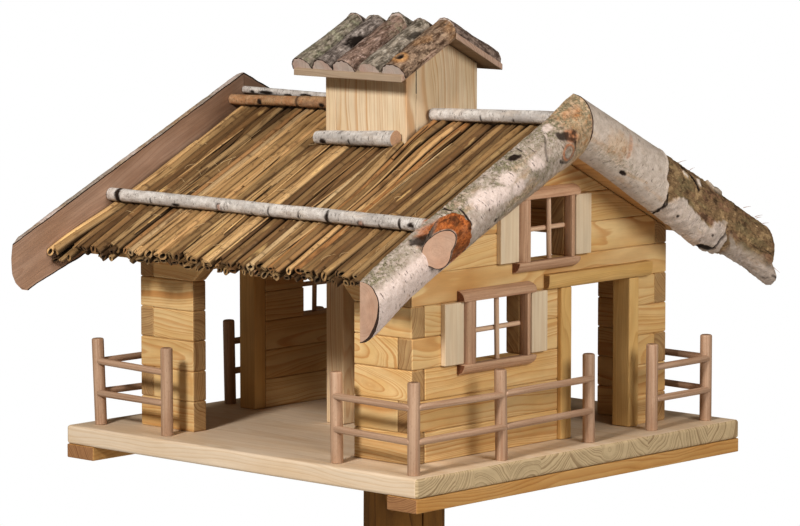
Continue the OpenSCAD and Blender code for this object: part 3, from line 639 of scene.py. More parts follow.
def tube(G, path, rad, sides=16, mi=0, cap_mi=None, seed=0, smooth_=True, noise=0.0, nscale=0.15, caps=True, up=None, rot=0, **att):
    """A round bar along a path of points with a radius at each, closed at both ends."""
    path = np.asarray(path, float)
    rad = np.broadcast_to(np.asarray(rad, float), (len(path),))
    a, b, d = frame_of(path[-1] - path[0])
    th = np.linspace(0, 2 * PI, sides, endpoint=False)
    ring = np.cos(th)[:, None] * a + np.sin(th)[:, None] * b
    s = np.concatenate([[0], np.cumsum(np.linalg.norm(np.diff(path, axis=0), axis=1))])
    r = np.broadcast_to(rad[:, None], (len(path), sides)).copy()
    r0 = rnd(seed)
    off = r0.uniform(0, 500, 3)
    if noise:
        q = p3(np.cos(th)[None, :] * rad.max(), np.sin(th)[None, :] * rad.max(), s[:, None]) * nscale + off
        r = r * (1 + noise * fbm(q, 3, seed))
    v = path[:, None, :] + r[..., None] * ring[None]
    n = len(path)
    gco = p3(np.cos(th)[None, :] * rad[:, None] + off[0], np.sin(th)[None, :] * rad[:, None] + off[1], s[:, None] + off[2])
    f = grid_faces(n, sides, closed_v=True, flip=True)
    if rot:
        v = rot180(v)
    kw = {k: (np.broadcast_to(x, (n, sides)).reshape(-1) if np.ndim(x) else x) for k, x in att.items()}
    G.add(v.reshape(-1, 3), f, mi, smooth_, gco=gco.reshape(-1, 3), **kw)
    if caps:
        cm = mi if cap_mi is None else cap_mi
        for e, idx in ((0, 0), (1, n - 1)):
            loop = v[idx]
            g2 = gco[idx].copy()
            ids = list(range(sides))
            G.add(loop, [ids if e == 0 else ids[::-1]], cm, False, gco=g2, **{k: (x if not np.ndim(x) else np.broadcast_to(x, (n, sides))[idx]) for k, x in att.items()})


def dowel(G, p, q, r, seed, round0=1.0, round1=1.0, sides=20, mi=0, cap_mi=1, rot=0, bow=0.0):
    """A turned dowel with rounded ends."""
    p, q = np.asarray(p, float), np.asarray(q, float)
    L = np.linalg.norm(q - p)
    d = (q - p) / L
    ss, rr = [], []
    for k in range(5):
        a = k / 4 * PI / 2
        ss.append(round0 * (1 - math.cos(a)) if round0 else 0)
        rr.append(r - min(round0, r * 0.92) * (1 - math.sin(a)))
    mid = list(np.linspace(round0, L - round1, max(4, int(L / 18)))[1:-1])
    ss += mid
    rr += [r] * len(mid)
    for k in range(5):
        a = k / 4 * PI / 2
        ss.append(L - round1 * (1 - math.sin(a)))
        rr.append(r - min(round1, r * 0.92) * (1 - math.cos(a)))
    ss, rr = np.array(ss), np.array(rr)
    pts = p + ss[:, None] * d
    r0 = rnd(seed)
    if bow:
        a, b, _ = frame_of(d)
        w = r0.normal(0, 1, 2) * bow
        pts = pts + np.sin(ss / L * PI)[:, None] * (a * w[0] + b * w[1])
    tube(G, pts, rr, sides, mi, cap_mi, seed, noise=0.012, nscale=0.05, rot=rot, tint=r0.uniform(-1, 1), tone=r0.uniform(0, 1))


def prism(G, poly, axis, a0, a1, grain, seed, e0=0.8, e1=0.8, mi=0, end_mi=1, rot=False, smooth_=True, pith=None, steps=3, tint=None):
    """A moulding: a section drawn across `axis`, its ends rounded by e0 and e1."""
    poly = np.asarray(poly, float)
    if 0.5 * np.sum(poly[:, 0] * np.roll(poly[:, 1], -1) - np.roll(poly[:, 0], -1) * poly[:, 1]) < 0:
        poly = poly[::-1]
    n = len(poly)
    k = AXES[axis]
    u, w = (k + 1) % 3, (k + 2) % 3
    prv, nxt = np.roll(poly, 1, 0), np.roll(poly, -1, 0)
    d0, d1 = poly - prv, nxt - poly
    n0 = np.stack([d0[:, 1], -d0[:, 0]], -1) / (np.linalg.norm(d0, axis=1)[:, None] + 1e-9)
    n1 = np.stack([d1[:, 1], -d1[:, 0]], -1) / (np.linalg.norm(d1, axis=1)[:, None] + 1e-9)
    m = n0 + n1
    m /= (np.linalg.norm(m, axis=1)[:, None] + 1e-9)
    m /= np.clip(np.sum(m * n0, axis=1), 0.5, 1)[:, None]
    cen = poly.mean(0)
    st = []
    for i in range(steps + 1):
        a = i / steps * PI / 2
        st.append((a0 + e0 * (1 - math.cos(a)), e0 * (1 - math.sin(a))))
    for i in range(steps + 1):
        a = i / steps * PI / 2
        st.append((a1 - e1 * (1 - math.sin(a)), e1 * (1 - math.cos(a))))
    rows = []
    size = (poly.max(0) - poly.min(0)).min()
    for a, ins in st:
        q = poly - m * min(ins, size * 0.06)
        if ins > size * 0.06:
            t = (ins - size * 0.06) / size
            q = cen + (q - cen) * (1 - min(t * 1.15, 0.6))
        row = np.zeros((n, 3))
        row[:, k], row[:, u], row[:, w] = a, q[:, 0], q[:, 1]
        rows.append(row)
    v = np.stack(rows)
    r = rnd(seed)
    g = AXES[grain]
    t, s = (g + 1) % 3, (g + 2) % 3
    if pith is None:
        ang, dist = r.uniform(0, 2 * PI), r.uniform(15, 60)
        pith = (dist * math.cos(ang), dist * math.sin(ang))
    c = v.reshape(-1, 3).mean(0)
    d = v - c
    gco = np.stack([d[..., t] + pith[0], d[..., s] + pith[1], d[..., g] + r.uniform(0, 4000)], -1)
    tt = r.uniform(-1, 1) if tint is None else tint
    if rot:
        v = rot180(v)
    f = grid_faces(len(st), n, closed_v=True)
    G.add(v.reshape(-1, 3), f, mi, smooth_, gco=gco.reshape(-1, 3), tint=tt, tone=r.uniform(0, 1))
    for e, idx in ((0, 0), (1, len(st) - 1)):
        ids = list(range(n))
        G.add(v[idx], [ids[::-1] if e == 0 else ids], end_mi, False, gco=gco[idx], tint=tt, tone=0.5)


def fillet(poly, rad, seg=3, which=None):
    """Rounds the corners of a polygon."""
    out = []
    n = len(poly)
    for i in range(n):
        p = np.array(poly[i], float)
        if which is not None and i not in which:
            out.append(tuple(p))
            continue
        a, b = np.array(poly[i - 1], float) - p, np.array(poly[(i + 1) % n], float) - p
        la, lb = np.linalg.norm(a), np.linalg.norm(b)
        a, b = a / la, b / lb
        half = math.acos(max(-1, min(1, float(a @ b)))) / 2
        t = min(rad / math.tan(half), la * 0.45, lb * 0.45)
        rr = t * math.tan(half)
        c = p + (a + b) / np.linalg.norm(a + b) * (rr / math.sin(half))
        s, e = p + a * t, p + b * t
        a0 = math.atan2(*(s - c)[::-1])
        a1 = math.atan2(*(e - c)[::-1])
        dd = (a1 - a0 + PI) % (2 * PI) - PI
        for k in range(seg + 1):
            x = a0 + dd * k / seg
            out.append((c[0] + rr * math.cos(x), c[1] + rr * math.sin(x)))
    return out


def quarter(r, n=9):
    """Quarter round: corner at the origin, flat sides along both positive axes."""
    return fillet([(0, 0), (r, 0)] + [(r * math.cos(a), r * math.sin(a)) for a in np.linspace(0, PI / 2, n)[1:-1]] + [(0, r)], 0.9, 2, which=(0, 1, n))


# ================================================================== the pieces
def mats(*k):
    return [M[x] for x in k]


def fine(G, poly, axis, a0, a1, grain, seed, **kw):
    board(G, poly, axis, a0, a1, grain, seed, **kw)


# ---- stand
G = Geo(*mats("stand", "stand_end"))
h0, h1, w = -FZ, -FZ + 44, 35
board(G, [(h0, -330), (h1, -330), (h1, -w), (h0 + 22, -w), (h0 + 22, w), (h1, w), (h1, 330), (h0, 330)], "y", -w, w, "x", 11, bev=2.2, pith=(20, -30))
G.build("foot_beam_x_piece", "foot_beam_x")
G = Geo(*mats("stand", "stand_end"))
board(G, [(-330, h0), (-w, h0), (-w, h0 + 22), (w, h0 + 22), (w, h0), (330, h0), (330, h1), (-330, h1)], "x", -w, w, "y", 12, bev=2.2, pith=(25, 34))
G.build("foot_beam_y_piece", "foot_beam_y")

# round post with a long drying crack
G = Geo(*mats("stand", "stand_end"))
R = 39.0
ca = math.radians(-19.5)
th = np.sort(np.unique(np.round(np.concatenate([np.linspace(-PI, PI, 73)[:-1], ca + np.linspace(-0.09, 0.09, 13)]), 5)))
zz = np.unique(np.round(np.concatenate([np.linspace(-1136, -36, 90), [-1134.5, -37.5]]), 3))
PT, ZZ = np.meshgrid(th, zz)
q = p3(np.cos(PT) * 1.6, np.sin(PT) * 1.6, ZZ / 140)
rr = R - 0.35 + 0.45 * fbm(q, 3, 5)
wob = ca + 0.035 * fbm(p3(0 * ZZ, 0 * ZZ + 3.1, ZZ / 60), 3, 8)
cw = 0.022 * smooth(-52, -70, ZZ) * smooth(-520, -330, ZZ) + 1e-4
dd = np.abs(PT - wob) / cw
rr = rr - 3.2 * np.clip(1 - dd, 0, 1) ** 0.6 * smooth(-52, -75, ZZ) * smooth(-530, -380, ZZ)
rr[0] -= 1.2
rr[-1] -= 1.0
v = p3(rr * np.cos(PT), rr * np.sin(PT), ZZ)
gco = p3(v[..., 0] + 6, v[..., 1] - 5, v[..., 2] + 4000 + 3 * fbm(q * 2, 2, 9))
f = grid_faces(len(zz), len(th), closed_v=True, flip=True)
G.add(v.reshape(-1, 3), f, 0, True, gco=gco.reshape(-1, 3), tint=0.0, tone=0.4)
for i in (0, len(zz) - 1):
    ids = list(range(len(th)))
    G.add(v[i], [ids[::-1] if i == 0 else ids], 1, False, gco=gco[i], tint=0.0, tone=0.4)
G.build("stand_post_piece", "stand_post", sharp=50)

G = Geo(*mats("stand", "stand_end"))


def braced(seed, ang):
    r0 = 35.0
    br, bt = 215.0, 32.0
    pts = [(br, h1), (br - 1.42 * bt, h1), (r0 + 4.5, h1 + br - 1.42 * bt - r0 - 4.5), (r0 + 4.5, h1 + br - r0 - 4.5)]
    H = Geo()
    board(H, [(z, x) for x, z in pts], "y", -20, 20, "z", seed, bev=1.8)
    v, loops, tot, mi, sm, att = H.parts[0]
    c, s = math.cos(ang), math.sin(ang)
    d = v - v.mean(0)
    al = (-d[:, 0] + d[:, 2]) / math.sqrt(2)
    ac = (d[:, 0] + d[:, 2]) / math.sqrt(2)
    r = rnd(seed)
    att["gco"] = np.stack([ac + r.uniform(20, 60), d[:, 1] + r.uniform(-30, 30), al + r.uniform(0, 900)], -1)
    v2 = np.stack([v[:, 0] * c - v[:, 1] * s, v[:, 0] * s + v[:, 1] * c, v[:, 2]], -1)
    fs, k = [], 0
    for t in tot:
        fs.append(list(loops[k:k + t]))
        k += t
    G.add(v2, fs, 0, False, **att)


for i in range(4):
    braced(20 + i, i * PI / 2)
G.build("stand_braces_piece", "stand_braces")

G = Geo(*mats("stand", "stand_end"))
board(G, rect(-100, 100, -100, 100), "z", -36, -18, "x", 30, bev=2.0, pith=(30, 60))
G.build("head_plate_piece", "head_plate")

# ---- floor board: strips glued side by side, long edges rounded over
G = Geo(*mats("plate", "plate_end"))
cuts = [-229, -178, -152, -104, -62, -21, 24, 66, 91, 138, 181, 229]
ER = 3.0
for i in range(len(cuts) - 1):
    y0, y1 = cuts[i], cuts[i + 1]
    rd = rnd(100 + i)
    st = [(-225 + ER * (1 - math.cos(a)), ER * (1 - math.sin(a))) for a in np.linspace(0, PI / 2, 5)]
    st += [(x, 0.0) for x in np.linspace(-200, 200, 5)]
    st += [(225 - ER * (1 - math.cos(a)), ER * (1 - math.sin(a))) for a in np.linspace(PI / 2, 0, 5)]
    rows = []
    for x, ins in st:
        a, b = y0, y1
        z0, z1 = -18 + ins, 0 - ins
        pts = []
        rad = max(ER - ins, 0.02)
        for (cy, cz, s0, outer) in ((a, z0, 180, i == 0), (b, z0, 270, i == len(cuts) - 2), (b, z1, 0, i == len(cuts) - 2), (a, z1, 90, i == 0)):
            if outer:
                sy = 1 if cy == a else -1
                sz = 1 if cz == z0 else -1
                c0, c1 = cy + sy * (ins + rad), cz + sz * rad
                for k in range(5):
                    an = math.radians(s0 + k * 22.5)
                    pts.append((x, c0 + rad * math.cos(an), c1 + rad * math.sin(an)))
            else:
                for k in range(5):
                    pts.append((x, cy, cz))
        rows.append(pts)
    v = np.array(rows)
    if 0 < i < len(cuts) - 2:
        v = v[:, ::5]
    elif i == 0:
        v = v[:, [0, 1, 2, 3, 4, 5, 10, 15, 16, 17, 18, 19]]
    else:
        v = v[:, [0, 5, 6, 7, 8, 9, 10, 11, 12, 13, 14, 15]]
    nr, nc = v.shape[:2]
    f = grid_faces(nr, nc, closed_v=True, flip=False)
    ang, dist = rd.uniform(0, 2 * PI), rd.uniform(8, 60)
    cc = np.array([0, (y0 + y1) / 2, -9])
    d = v - cc
    tl = rd.normal(0, 0.012, 2)
    gco = np.stack([d[..., 1] + dist * math.cos(ang) + tl[0] * d[..., 0], d[..., 2] + dist * math.sin(ang) + tl[1] * d[..., 0], d[..., 0] + rd.uniform(0, 3000)], -1)
    tn, to = rd.uniform(-1, 1), rd.uniform(0, 1)
    mi = np.zeros(len(f), int)
    seg = np.arange(len(f)) // nc
    mi[(seg < 3) | (seg >= nr - 4)] = 1
    G.add(v.reshape(-1, 3), f, mi, False, gco=gco.reshape(-1, 3), tint=tn, tone=to)
    ids = list(range(nc))
    G.add(v[0], [ids[::-1]], 1, False, gco=gco[0], tint=tn, tone=to)
    G.add(v[-1], [ids], 1, False, gco=gco[-1], tint=tn, tone=to)
G.build("floor_board_strips", "base_plate")

G = Geo(*mats("cleat", "cleat_end"))
board(G, rect(189, 224.7, -228.7, 228.7), "z", -31, -18.05, "y", 131, bev=1.0, pith=(-26, 10), tilt=(0.01, 0.0))
board(G, rect(-224.7, -189, -228.7, 228.7), "z", -31, -18.05, "y", 132, bev=1.0)
G.build("floor_cleat_boards", "floor_cleats")

# ---- eave walls: courses of boards, finger-jointed with the gable boards at the corners
BV = 1.45
roof_at = lambda y: RZ0 - SL * abs(y)


def eave_piece(rot, tag, names):
    y0, y1 = -HD, -WID
    for side in (-1, 1):
        G = Geo(*mats("wall", "wall_end"))
        for k in range(6):
            end = HL if k % 2 == 0 else WIL
            z0, z1 = k * CO, (k + 1) * CO
            a, b = (OPEN, end) if side > 0 else (-end, -OPEN)
            sd = 200 + 37 * k + (400 if side > 0 else 0) + (1000 if rot else 0)
            kw = {}
            if side > 0 and k in (2, 3):
                kw = dict(pith=(6 + 5 * k, 3), tilt=(0.34, 0.12))
            if k < 5:
                board(G, rect(a, b, y0, y1), "z", z0 + 0.04, z1 - 0.04, "x", sd, bev=BV, rot=rot, **kw)
            else:
                board(G, [(z0 + 0.04, side * OPEN), (z1 - 0.04, side * (OPEN - CO)), (z1 - 0.04, side * WIL), (z0 + 0.04, side * WIL)], "y", y0, y1, "x", sd, bev=BV, rot=rot, pith=(40, -25))
        i = 1 if side > 0 else 0
        G.build("%s_boards_%s" % (tag, "right" if side > 0 else "left"), names[i])
    G = Geo(*mats("wall", "wall_end"))
    z1a, z1b = roof_at(y0) - 0.3, roof_at(y1) - 0.3
    board(G, [(y0, 171.04), (y1, 171.04), (y1, z1b), (y0, z1a)], "x", -HL, HL, "x", 261 + (1000 if rot else 0), bev=BV, rot=rot)
    G.build(tag + "_lintel_boards", names[2])


eave_piece(False, "front_wall", ("front_wall_left", "front_wall_right", "front_lintel"))
eave_piece(True, "back_wall", ("back_wall_right", "back_wall_left", "back_lintel"))


# ---- gable walls
def gable_pieces(rot, s, tag, P):
    X0, X1 = WIL, HL
    base = 3000 if rot else 2000
    lo = lambda k: -WID if k % 2 == 0 else -HD
    G = Geo(*mats("wall", "wall_end"))
    for k in range(5):
        z0, z1 = k * CO + 0.04, (k + 1) * CO - 0.04
        e = DY0 - PA + s
        if k < 3:
            board(G, rect(X0, X1, lo(k), e), "z", z0, z1, "y", base + k, bev=BV, rot=rot)
        else:
            board(G, rect(X0, X1, lo(k), WY0 + s), "z", z0, z1, "y", base + k, bev=BV, rot=rot)
            board(G, rect(X0, X1, WY1 + s, e), "z", z0, z1, "y", base + k, bev=BV, rot=rot, pith=(30, 30))
    G.build(tag + "_window_wall_boards", P + "_gable_window_wall")
    G = Geo(*mats("wall", "wall_end"))
    for k in range(5):
        hi = WID if k % 2 == 0 else HD
        board(G, rect(X0, X1, DY1 + PB + s, hi), "z", k * CO + 0.04, (k + 1) * CO - 0.04, "y", base + 20 + k, bev=BV, rot=rot)
    G.build(tag + "_corner_wall_boards", P + "_gable_corner_wall")
    G = Geo(*mats("wall", "wall_end"))
    top = RZ0 - 0.4
    for k in range(5, 10):
        z0, z1 = k * CO + 0.04, min((k + 1) * CO - 0.04, top)
        e = HD if k % 2 else WID
        spans = [(-e, e)]
        if k in (6, 7):
            spans = [(-e, -WUP + s), (WUP + s, e)]
        for j, (a, b) in enumerate(spans):
            poly = rect(a, b, z0, z1)
            poly = clip(poly, SL, 1, top)
            poly = clip(poly, -SL, 1, top)
            if len(poly) > 2:
                board(G, poly, "x", X0, X1, "y", base + 40 + 3 * k + j, bev=BV, rot=rot)
    G.build(tag + "_upper_wall_boards", P + "_gable_upper_wall")

    # doorway: two posts and a head with a rounded lower nose
    G = Geo(*mats("door", "door_end"))
    board(G, rect(X0, X1 + PROUD, DY0 - PA + s, DY0 + s), "z", 0.05, 142.4, "z", base + 60, bev=1.2, rot=rot, pith=(70, 25), tilt=(0.004, 0.006))
    board(G, rect(X0, X1 + PROUD, DY1 + s, DY1 + PB + s), "z", 0.05, 142.4, "z", base + 61, bev=1.2, rot=rot, pith=(60, -20), tilt=(0.004, 0.006))
    prof = fillet([(142.5, HL + 0.02), (142.5, HL + PROUD + 0.05), (143.5, HL + PROUD + 2.6), (146.5, HL + 7.4), (149.0, HL + 8.0), (156.4, HL + 8.0), (156.4, HL + 0.02)], 1.0, 2, which=(3, 4, 5))
    prism(G, prof, "y", s, 150 + s, "y", base + 62, e0=1.0, e1=1.4, rot=rot, pith=(14, -6))
    G.build(tag + "_door_frame_strips", P + "_door_frame")

    # window trim of quarter-round strips, thin dowels for bars
    G = Geo(*mats("trim", "trim_end", "bar"))
    for j, (y0, y1, z0, z1) in enumerate(((WY0 + s, WY1 + s, 3 * CO, 5 * CO), (-WUP + s, WUP + s, 6 * CO, 8 * CO))):
        qr = quarter(TR)
        sd = base + 70 + 8 * j
        head = [(z1 + 0.02 + b, HL + a) for a, b in qr]
        prism(G, head, "y", y0 - TR - 5, y1 + TR + 5, "y", sd, e0=0.8, e1=5.0, rot=rot, steps=5)
        sill = [(z0 - 0.02 - b, HL + a) for a, b in qr]
        prism(G, sill, "y", y0 - TR - 5, y1 + TR + 5, "y", sd + 1, e0=0.8, e1=5.0, rot=rot, steps=5)
        prism(G, [(HL + a, y1 + b) for a, b in qr], "z", z0, z1, "z", sd + 2, e0=0.3, e1=0.3, rot=rot)
        prism(G, [(HL + a, y0 - b) for a, b in qr], "z", z0, z1, "z", sd + 3, e0=0.3, e1=0.3, rot=rot)
        yc, zc = ((y0 + y1) / 2, (z0 + z1) / 2)
        dy = 0.6 if j == 0 else 4.0
        dowel(G, (HL + 2.6, yc + dy + 0.6, z0 + 0.2), (HL + 2.6, yc + dy - 0.4, z1 - 0.2), 2.35, sd + 4, 0.3, 0.3, 12, mi=2, cap_mi=2, rot=rot)
        dowel(G, (HL - 1.6, y0 - 0.5, zc - 0.3), (HL - 1.6, y1 + 0.5, zc + 0.3), 2.35, sd + 5, 0.3, 0.3, 12, mi=2, cap_mi=2, rot=rot)
    G.build(tag + "_window_trim", P + "_window_frames")

    G = Geo(*mats("shutter", "shutter"))
    for j, (y0, y1, z0, z1) in enumerate(((WY0 + s, WY1 + s, 3 * CO, 5 * CO), (-WUP + s, WUP + s, 6 * CO, 8 * CO))):
        for m_, (a, b) in enumerate(((y0 - TR - 3.4 - SHW, y0 - TR - 1.0), (y1 + TR + 1, y1 + TR + SHW))):
            board(G, rect(HL + 0.05, HL + SHT, a, b), "z", z0 + 0.5, z1 - 0.3, "z", base + 90 + 2 * j + m_, bev=0.7, rot=rot, pith=(60, 60), tilt=(0.003, 0.003))
    G.build(tag + "_shutter_strips", P + "_shutters")


gable_pieces(False, 0.0, "right", "right")
gable_pieces(True, 7.0, "left", "left")

# ---- fence
FAT = [(-109.5, -208), (112.5, -211.5), (208, -214), (211, -100), (205, 29), (203.5, 122.5), (203.5, 204)]
RUNS = [((-203.5, -204), (-109.5, -208)), ((112.5, -211.5), (208, -214)), ((208, -214), (211, -100)), ((211, -100), (205, 29)), ((203.5, 122.5), (203.5, 204))]
FD, FH = 11.5, 83.0
G = Geo(*mats("fence", "fence_end"))
for ri, rot in enumerate((False, True)):
    for i, (x, y) in enumerate(FAT):
        r = rnd(500 + 20 * ri + i)
        lx, ly = r.normal(0, 1.3, 2)
        if ri == 1 and i == 6:
            lx, ly = 3.4, 0.4
        if ri == 1 and i == 0:
            lx, ly = 2.2, 1.0
        dowel(G, (x, y, 0.05), (x + lx, y + ly, FH - 0.1 + r.uniform(-0.6, 0.3)), FD / 2 - 0.05, 520 + 20 * ri + i, 0.6, 1.7, 26, rot=rot)
G.build("fence_dowel_posts", "fence_posts")
G = Geo(*mats("fence", "fence_end"))
for ri, rot in enumerate((False, True)):
    for i, (p, q) in enumerate(RUNS):
        p, q = np.array(p, float), np.array(q, float)
        u = (q - p) / np.linalg.norm(q - p)
        nrm = np.array([u[1], -u[0]])
        if nrm @ ((p + q) / 2) < 0:
            nrm = -nrm
        for j, z in enumerate((30.5, 60.0)):
            r = rnd(560 + 40 * ri + 4 * i + j)
            a = p + u * r.uniform(-1.5, 1.5) + nrm * 3.3
            b = q + u * r.uniform(-1.5, 1.5) + nrm * 3.3
            dz = r.normal(0, 0.5, 2)
            dowel(G, (a[0], a[1], z + dz[0]), (b[0], b[1], z + dz[1]), 3.25, 600 + 40 * ri + 4 * i + j, 2.6, 2.6, 16, rot=rot)
G.build("fence_dowel_rails", "fence_rails")

# ---- roof boards: wide boards along the ridge, cut round the turret
for sgn, nm in ((-1, "front"), (1, "back")):
    G = Geo(*mats("roofb", "roofb_end"))

    def slab(t0, t1, x0, x1, seed):
        z = lambda t, up: RZ0 - SL * t + up
        poly = [(sgn * t0, z(t0, 0)), (sgn * t1, z(t1, 0)), (sgn * t1, z(t1, RT)), (sgn * t0, z(t0, RT))]
        board(G, poly, "x", x0, x1, "x", seed, bev=0.9, pith=(rnd(seed).uniform(-60, 60), rnd(seed).uniform(25, 70)), tilt=(0.004, 0.004))
    edge = 52.3 if sgn < 0 else 47.3
    slab(0.02, edge, -RXL, TX0 - 0.3, 700 + sgn)
    slab(0.02, edge, TX1 + 0.3, RXR, 703 + sgn)
    slab(edge + 0.02, 145, -RXL, RXR, 706 + sgn)
    slab(145.1, RREACH[sgn], -RXL, RXR, 709 + sgn)
    G.build("roof_boards_" + nm, "roof_board_" + nm)


# ---- reeds
def slope_pt(sgn, x, l, n):
    """Point on a slope: l along it from the ridge, n above the roof board's top."""
    return p3(x, sgn * (l * CA + n * SA), RZ0 + RT - l * SA + n * CA)


def reeds(sgn, name, node):
    G = Geo(M["reed"])
    r = rnd(900 + sgn)
    S = 12
    an = np.linspace(0, 2 * PI, S, endpoint=False)
    ca_, sa_ = np.cos(an), np.sin(an)
    ytur = 53.4 if sgn < 0 else 48.4
    xlo, xhi = -208.0, 203.0
    items = []
    x = xlo + 4.2
    while x < xhi - 3.4:
        rad = float(np.clip(r.normal(3.7, 0.5), 2.5, 4.7))
        items.append((x + r.normal(0, 0.3), 13.9 - rad - abs(r.normal(0, 0.5)), rad, 1))
        x += rad * 2 + abs(r.normal(0.1, 0.45)) + (r.uniform(1.6, 3.2) if r.random() < 0.12 else 0)
    x = xlo + 6.5
    while x < xhi - 4.0:
        rad = float(np.clip(r.normal(3.0, 0.5), 2.0, 4.0))
        items.append((x + r.normal(0, 0.8), rad + 0.1 + r.uniform(0, 1.2), rad, 0))
        x += rad * 2 + abs(r.normal(0.4, 0.9))
    for _ in range(46):
        items.append((r.uniform(xlo + 4, xhi - 4), 13.4 - abs(r.normal(0, 0.9)), r.uniform(0.5, 1.9), 2))
    for (x0, n0, rad, layer) in items:
        sk = r.normal(0, 0.008) if r.random() > 0.14 else r.normal(0, 0.030)
        if layer == 2:
            sk = r.normal(0, 0.05)
        # reeds near the open corners fan out a little
        fan = smooth(-168, -208, x0)
        xm = x0 + 0 * fan
        sk = sk * (1 - 0.5 * fan)
        ystart = 0.5 + abs(r.normal(0, 2.0))
        if TX0 - rad - 1 < x0 < TX1 + rad + 1:
            ystart = ytur + abs(r.normal(0, 0.6)) + rad * SA
        yend = TREACH[sgn] - abs(r.normal(0, 2.4)) - (r.uniform(2, 9) if r.random() < 0.14 else 0)
        if layer == 0:
            yend -= r.uniform(0, 4.5)
        yend += 15.0 * fan
        if layer == 2:
            a_ = r.uniform(20, 170)
            if TX0 - 8 < x0 < TX1 + 8:
                a_ = max(a_, ytur + 2)
            ystart = max(ystart, a_)
            yend = min(yend, ystart + r.uniform(50, 190))
        l0, l1 = (ystart - n0 * SA) / CA, (yend - n0 * SA) / CA
        l0 = max(l0, 0.3 - n0 * SA / CA)
        ls = list(np.linspace(l0, l1 - 1.2, 13))
        nodes = []
        z = l0 + r.uniform(10, 120)
        while z < l1 - 8 and layer < 2:
            nodes.append(z)
            z += r.uniform(85, 170)
        for nd in nodes:
            ls = [q for q in ls if abs(q - nd) > 4] + [nd - 2.2, nd - 0.6, nd + 0.6, nd + 2.2]
        ls = np.array(sorted(ls) + [l1])
        rr = np.full(len(ls), rad)
        band = np.zeros(len(ls))
        for nd in nodes:
            rr *= 1 + 0.10 * np.exp(-((ls - nd) / 1.1) ** 2)
            band = np.maximum(band, np.exp(-((ls - nd) / 1.3) ** 2) * (0.4 + 0.6 * r.random()))
        rr *= 1 + 0.06 * vnoise(p3(ls / 30, 0 * ls + x0, 0 * ls), 77)
        lm = ls - 130
        cx = xm + sk * lm + 1.1 * vnoise(p3(ls / 70, 0 * ls + x0 * 3.1, 0 * ls + layer), 78)
        out = np.clip((ls - 140) / 115, 0, 1)
        cx = cx - 9.0 * fan * out
        lim = rad * 0.8 - 4.0 * out
        cx = np.clip(cx, xlo + lim, xhi - rad * 0.6)
        cn = n0 + 0.6 * vnoise(p3(ls / 60, 0 * ls + x0 * 1.7, 0 * ls + 5 + layer), 79)
        cn = np.clip(cn, rad + 0.05, 14.2 - rad * 0.9)
        if sgn < 0 and layer:
            # the reeds bulge over the foot of the turret's front right corner
            hump = 7.0 * np.exp(-((ls - 44) / np.where(ls < 44, 75.0, 60.0)) ** 2) * smooth(37, 49, x0) * smooth(112, 60, x0)
            cn = cn + hump + 4.0 * fan * smooth(190, 268, ls)
        oval = 1 + r.normal(0, 0.05)
        X = cx[:, None] + rr[:, None] * ca_[None] * oval
        Nn = cn[:, None] + rr[:, None] * sa_[None] / oval
        L = np.broadcast_to(ls[:, None], X.shape).copy()
        cut = r.normal(0, 0.32, 2)
        L[-1] += rad * (cut[0] * ca_ + cut[1] * sa_)
        if r.random() < 0.25:
            L[-1] += r.normal(0, 0.7, S)
        L[-1] = np.minimum(L[-1], l1 + 2.0)
        X[0] = cx[0] + (X[0] - cx[0]) * 0.75
        Nn[0] = cn[0] + (Nn[0] - cn[0]) * 0.75
        v = slope_pt(sgn, X, L, Nn)
        o = r.uniform(0, 900, 3)
        gco = p3(rad * ca_[None] + o[0], rad * sa_[None] + o[1], L + o[2])
        f = grid_faces(len(ls), S, closed_v=True, flip=(sgn > 0))
        tn, to = r.normal(0, 1.5), r.uniform(0, 1)
        # painted shade: the lower layer, lying under the upper reeds, gets a darker tint, and gap_shade darkens the
        # lower flanks of every reed and, more strongly, the whole lower layer
        if layer == 0:
            tn -= 2.0
        gap_shade = np.clip(smooth(0.50, -0.15, sa_) + (0.45 if layer == 0 else 0.0), 0, 1)
        G.add(v.reshape(-1, 3), f, 0, True, gco=gco.reshape(-1, 3), tint=tn, tone=to, m1=0.0, m2=np.repeat(band, S), m3=np.tile(gap_shade, len(ls)))
        if layer < 2:
            # the hollow lower end: a wall cut square, the bore behind it, with painted shade: the bore and the disc
            # closing it are painted near black (m1), the cut wall a little darker
            wall = r.uniform(0.38, 0.56)
            ring = lambda k, dl: slope_pt(sgn, cx[-1] + (X[-1] - cx[-1]) * k, L[-1] + dl, cn[-1] + (Nn[-1] - cn[-1]) * k)
            ge = gco[-1]
            f2 = grid_faces(2, S, closed_v=True, flip=(sgn > 0))
            G.add(np.concatenate([v[-1], ring(wall, 0)]), f2, 0, False, gco=np.concatenate([ge, ge * 0.999]), tint=tn, tone=to, m1=0.18, m2=0.0)
            G.add(np.concatenate([ring(wall, 0), ring(wall * 0.9, -8.0)]), f2, 0, True, gco=np.concatenate([ge, ge]), tint=tn, tone=to, m1=np.repeat([0.75, 1.0], S), m2=0.0)
            G.add(ring(wall * 0.9, -8.0), [list(range(S)) if sgn < 0 else list(range(S))[::-1]], 0, False, gco=ge, tint=tn, tone=to, m1=1.0, m2=0.0)
        else:
            G.add(v[-1], [list(range(S)) if sgn < 0 else list(range(S))[::-1]], 0, False, gco=gco[-1], tint=tn, tone=to, m1=0.3, m2=0.0)
        G.add(v[0], [list(range(S))[::-1] if sgn < 0 else list(range(S))], 0, False, gco=gco[0], tint=tn, tone=to, m1=0.6, m2=0.0)
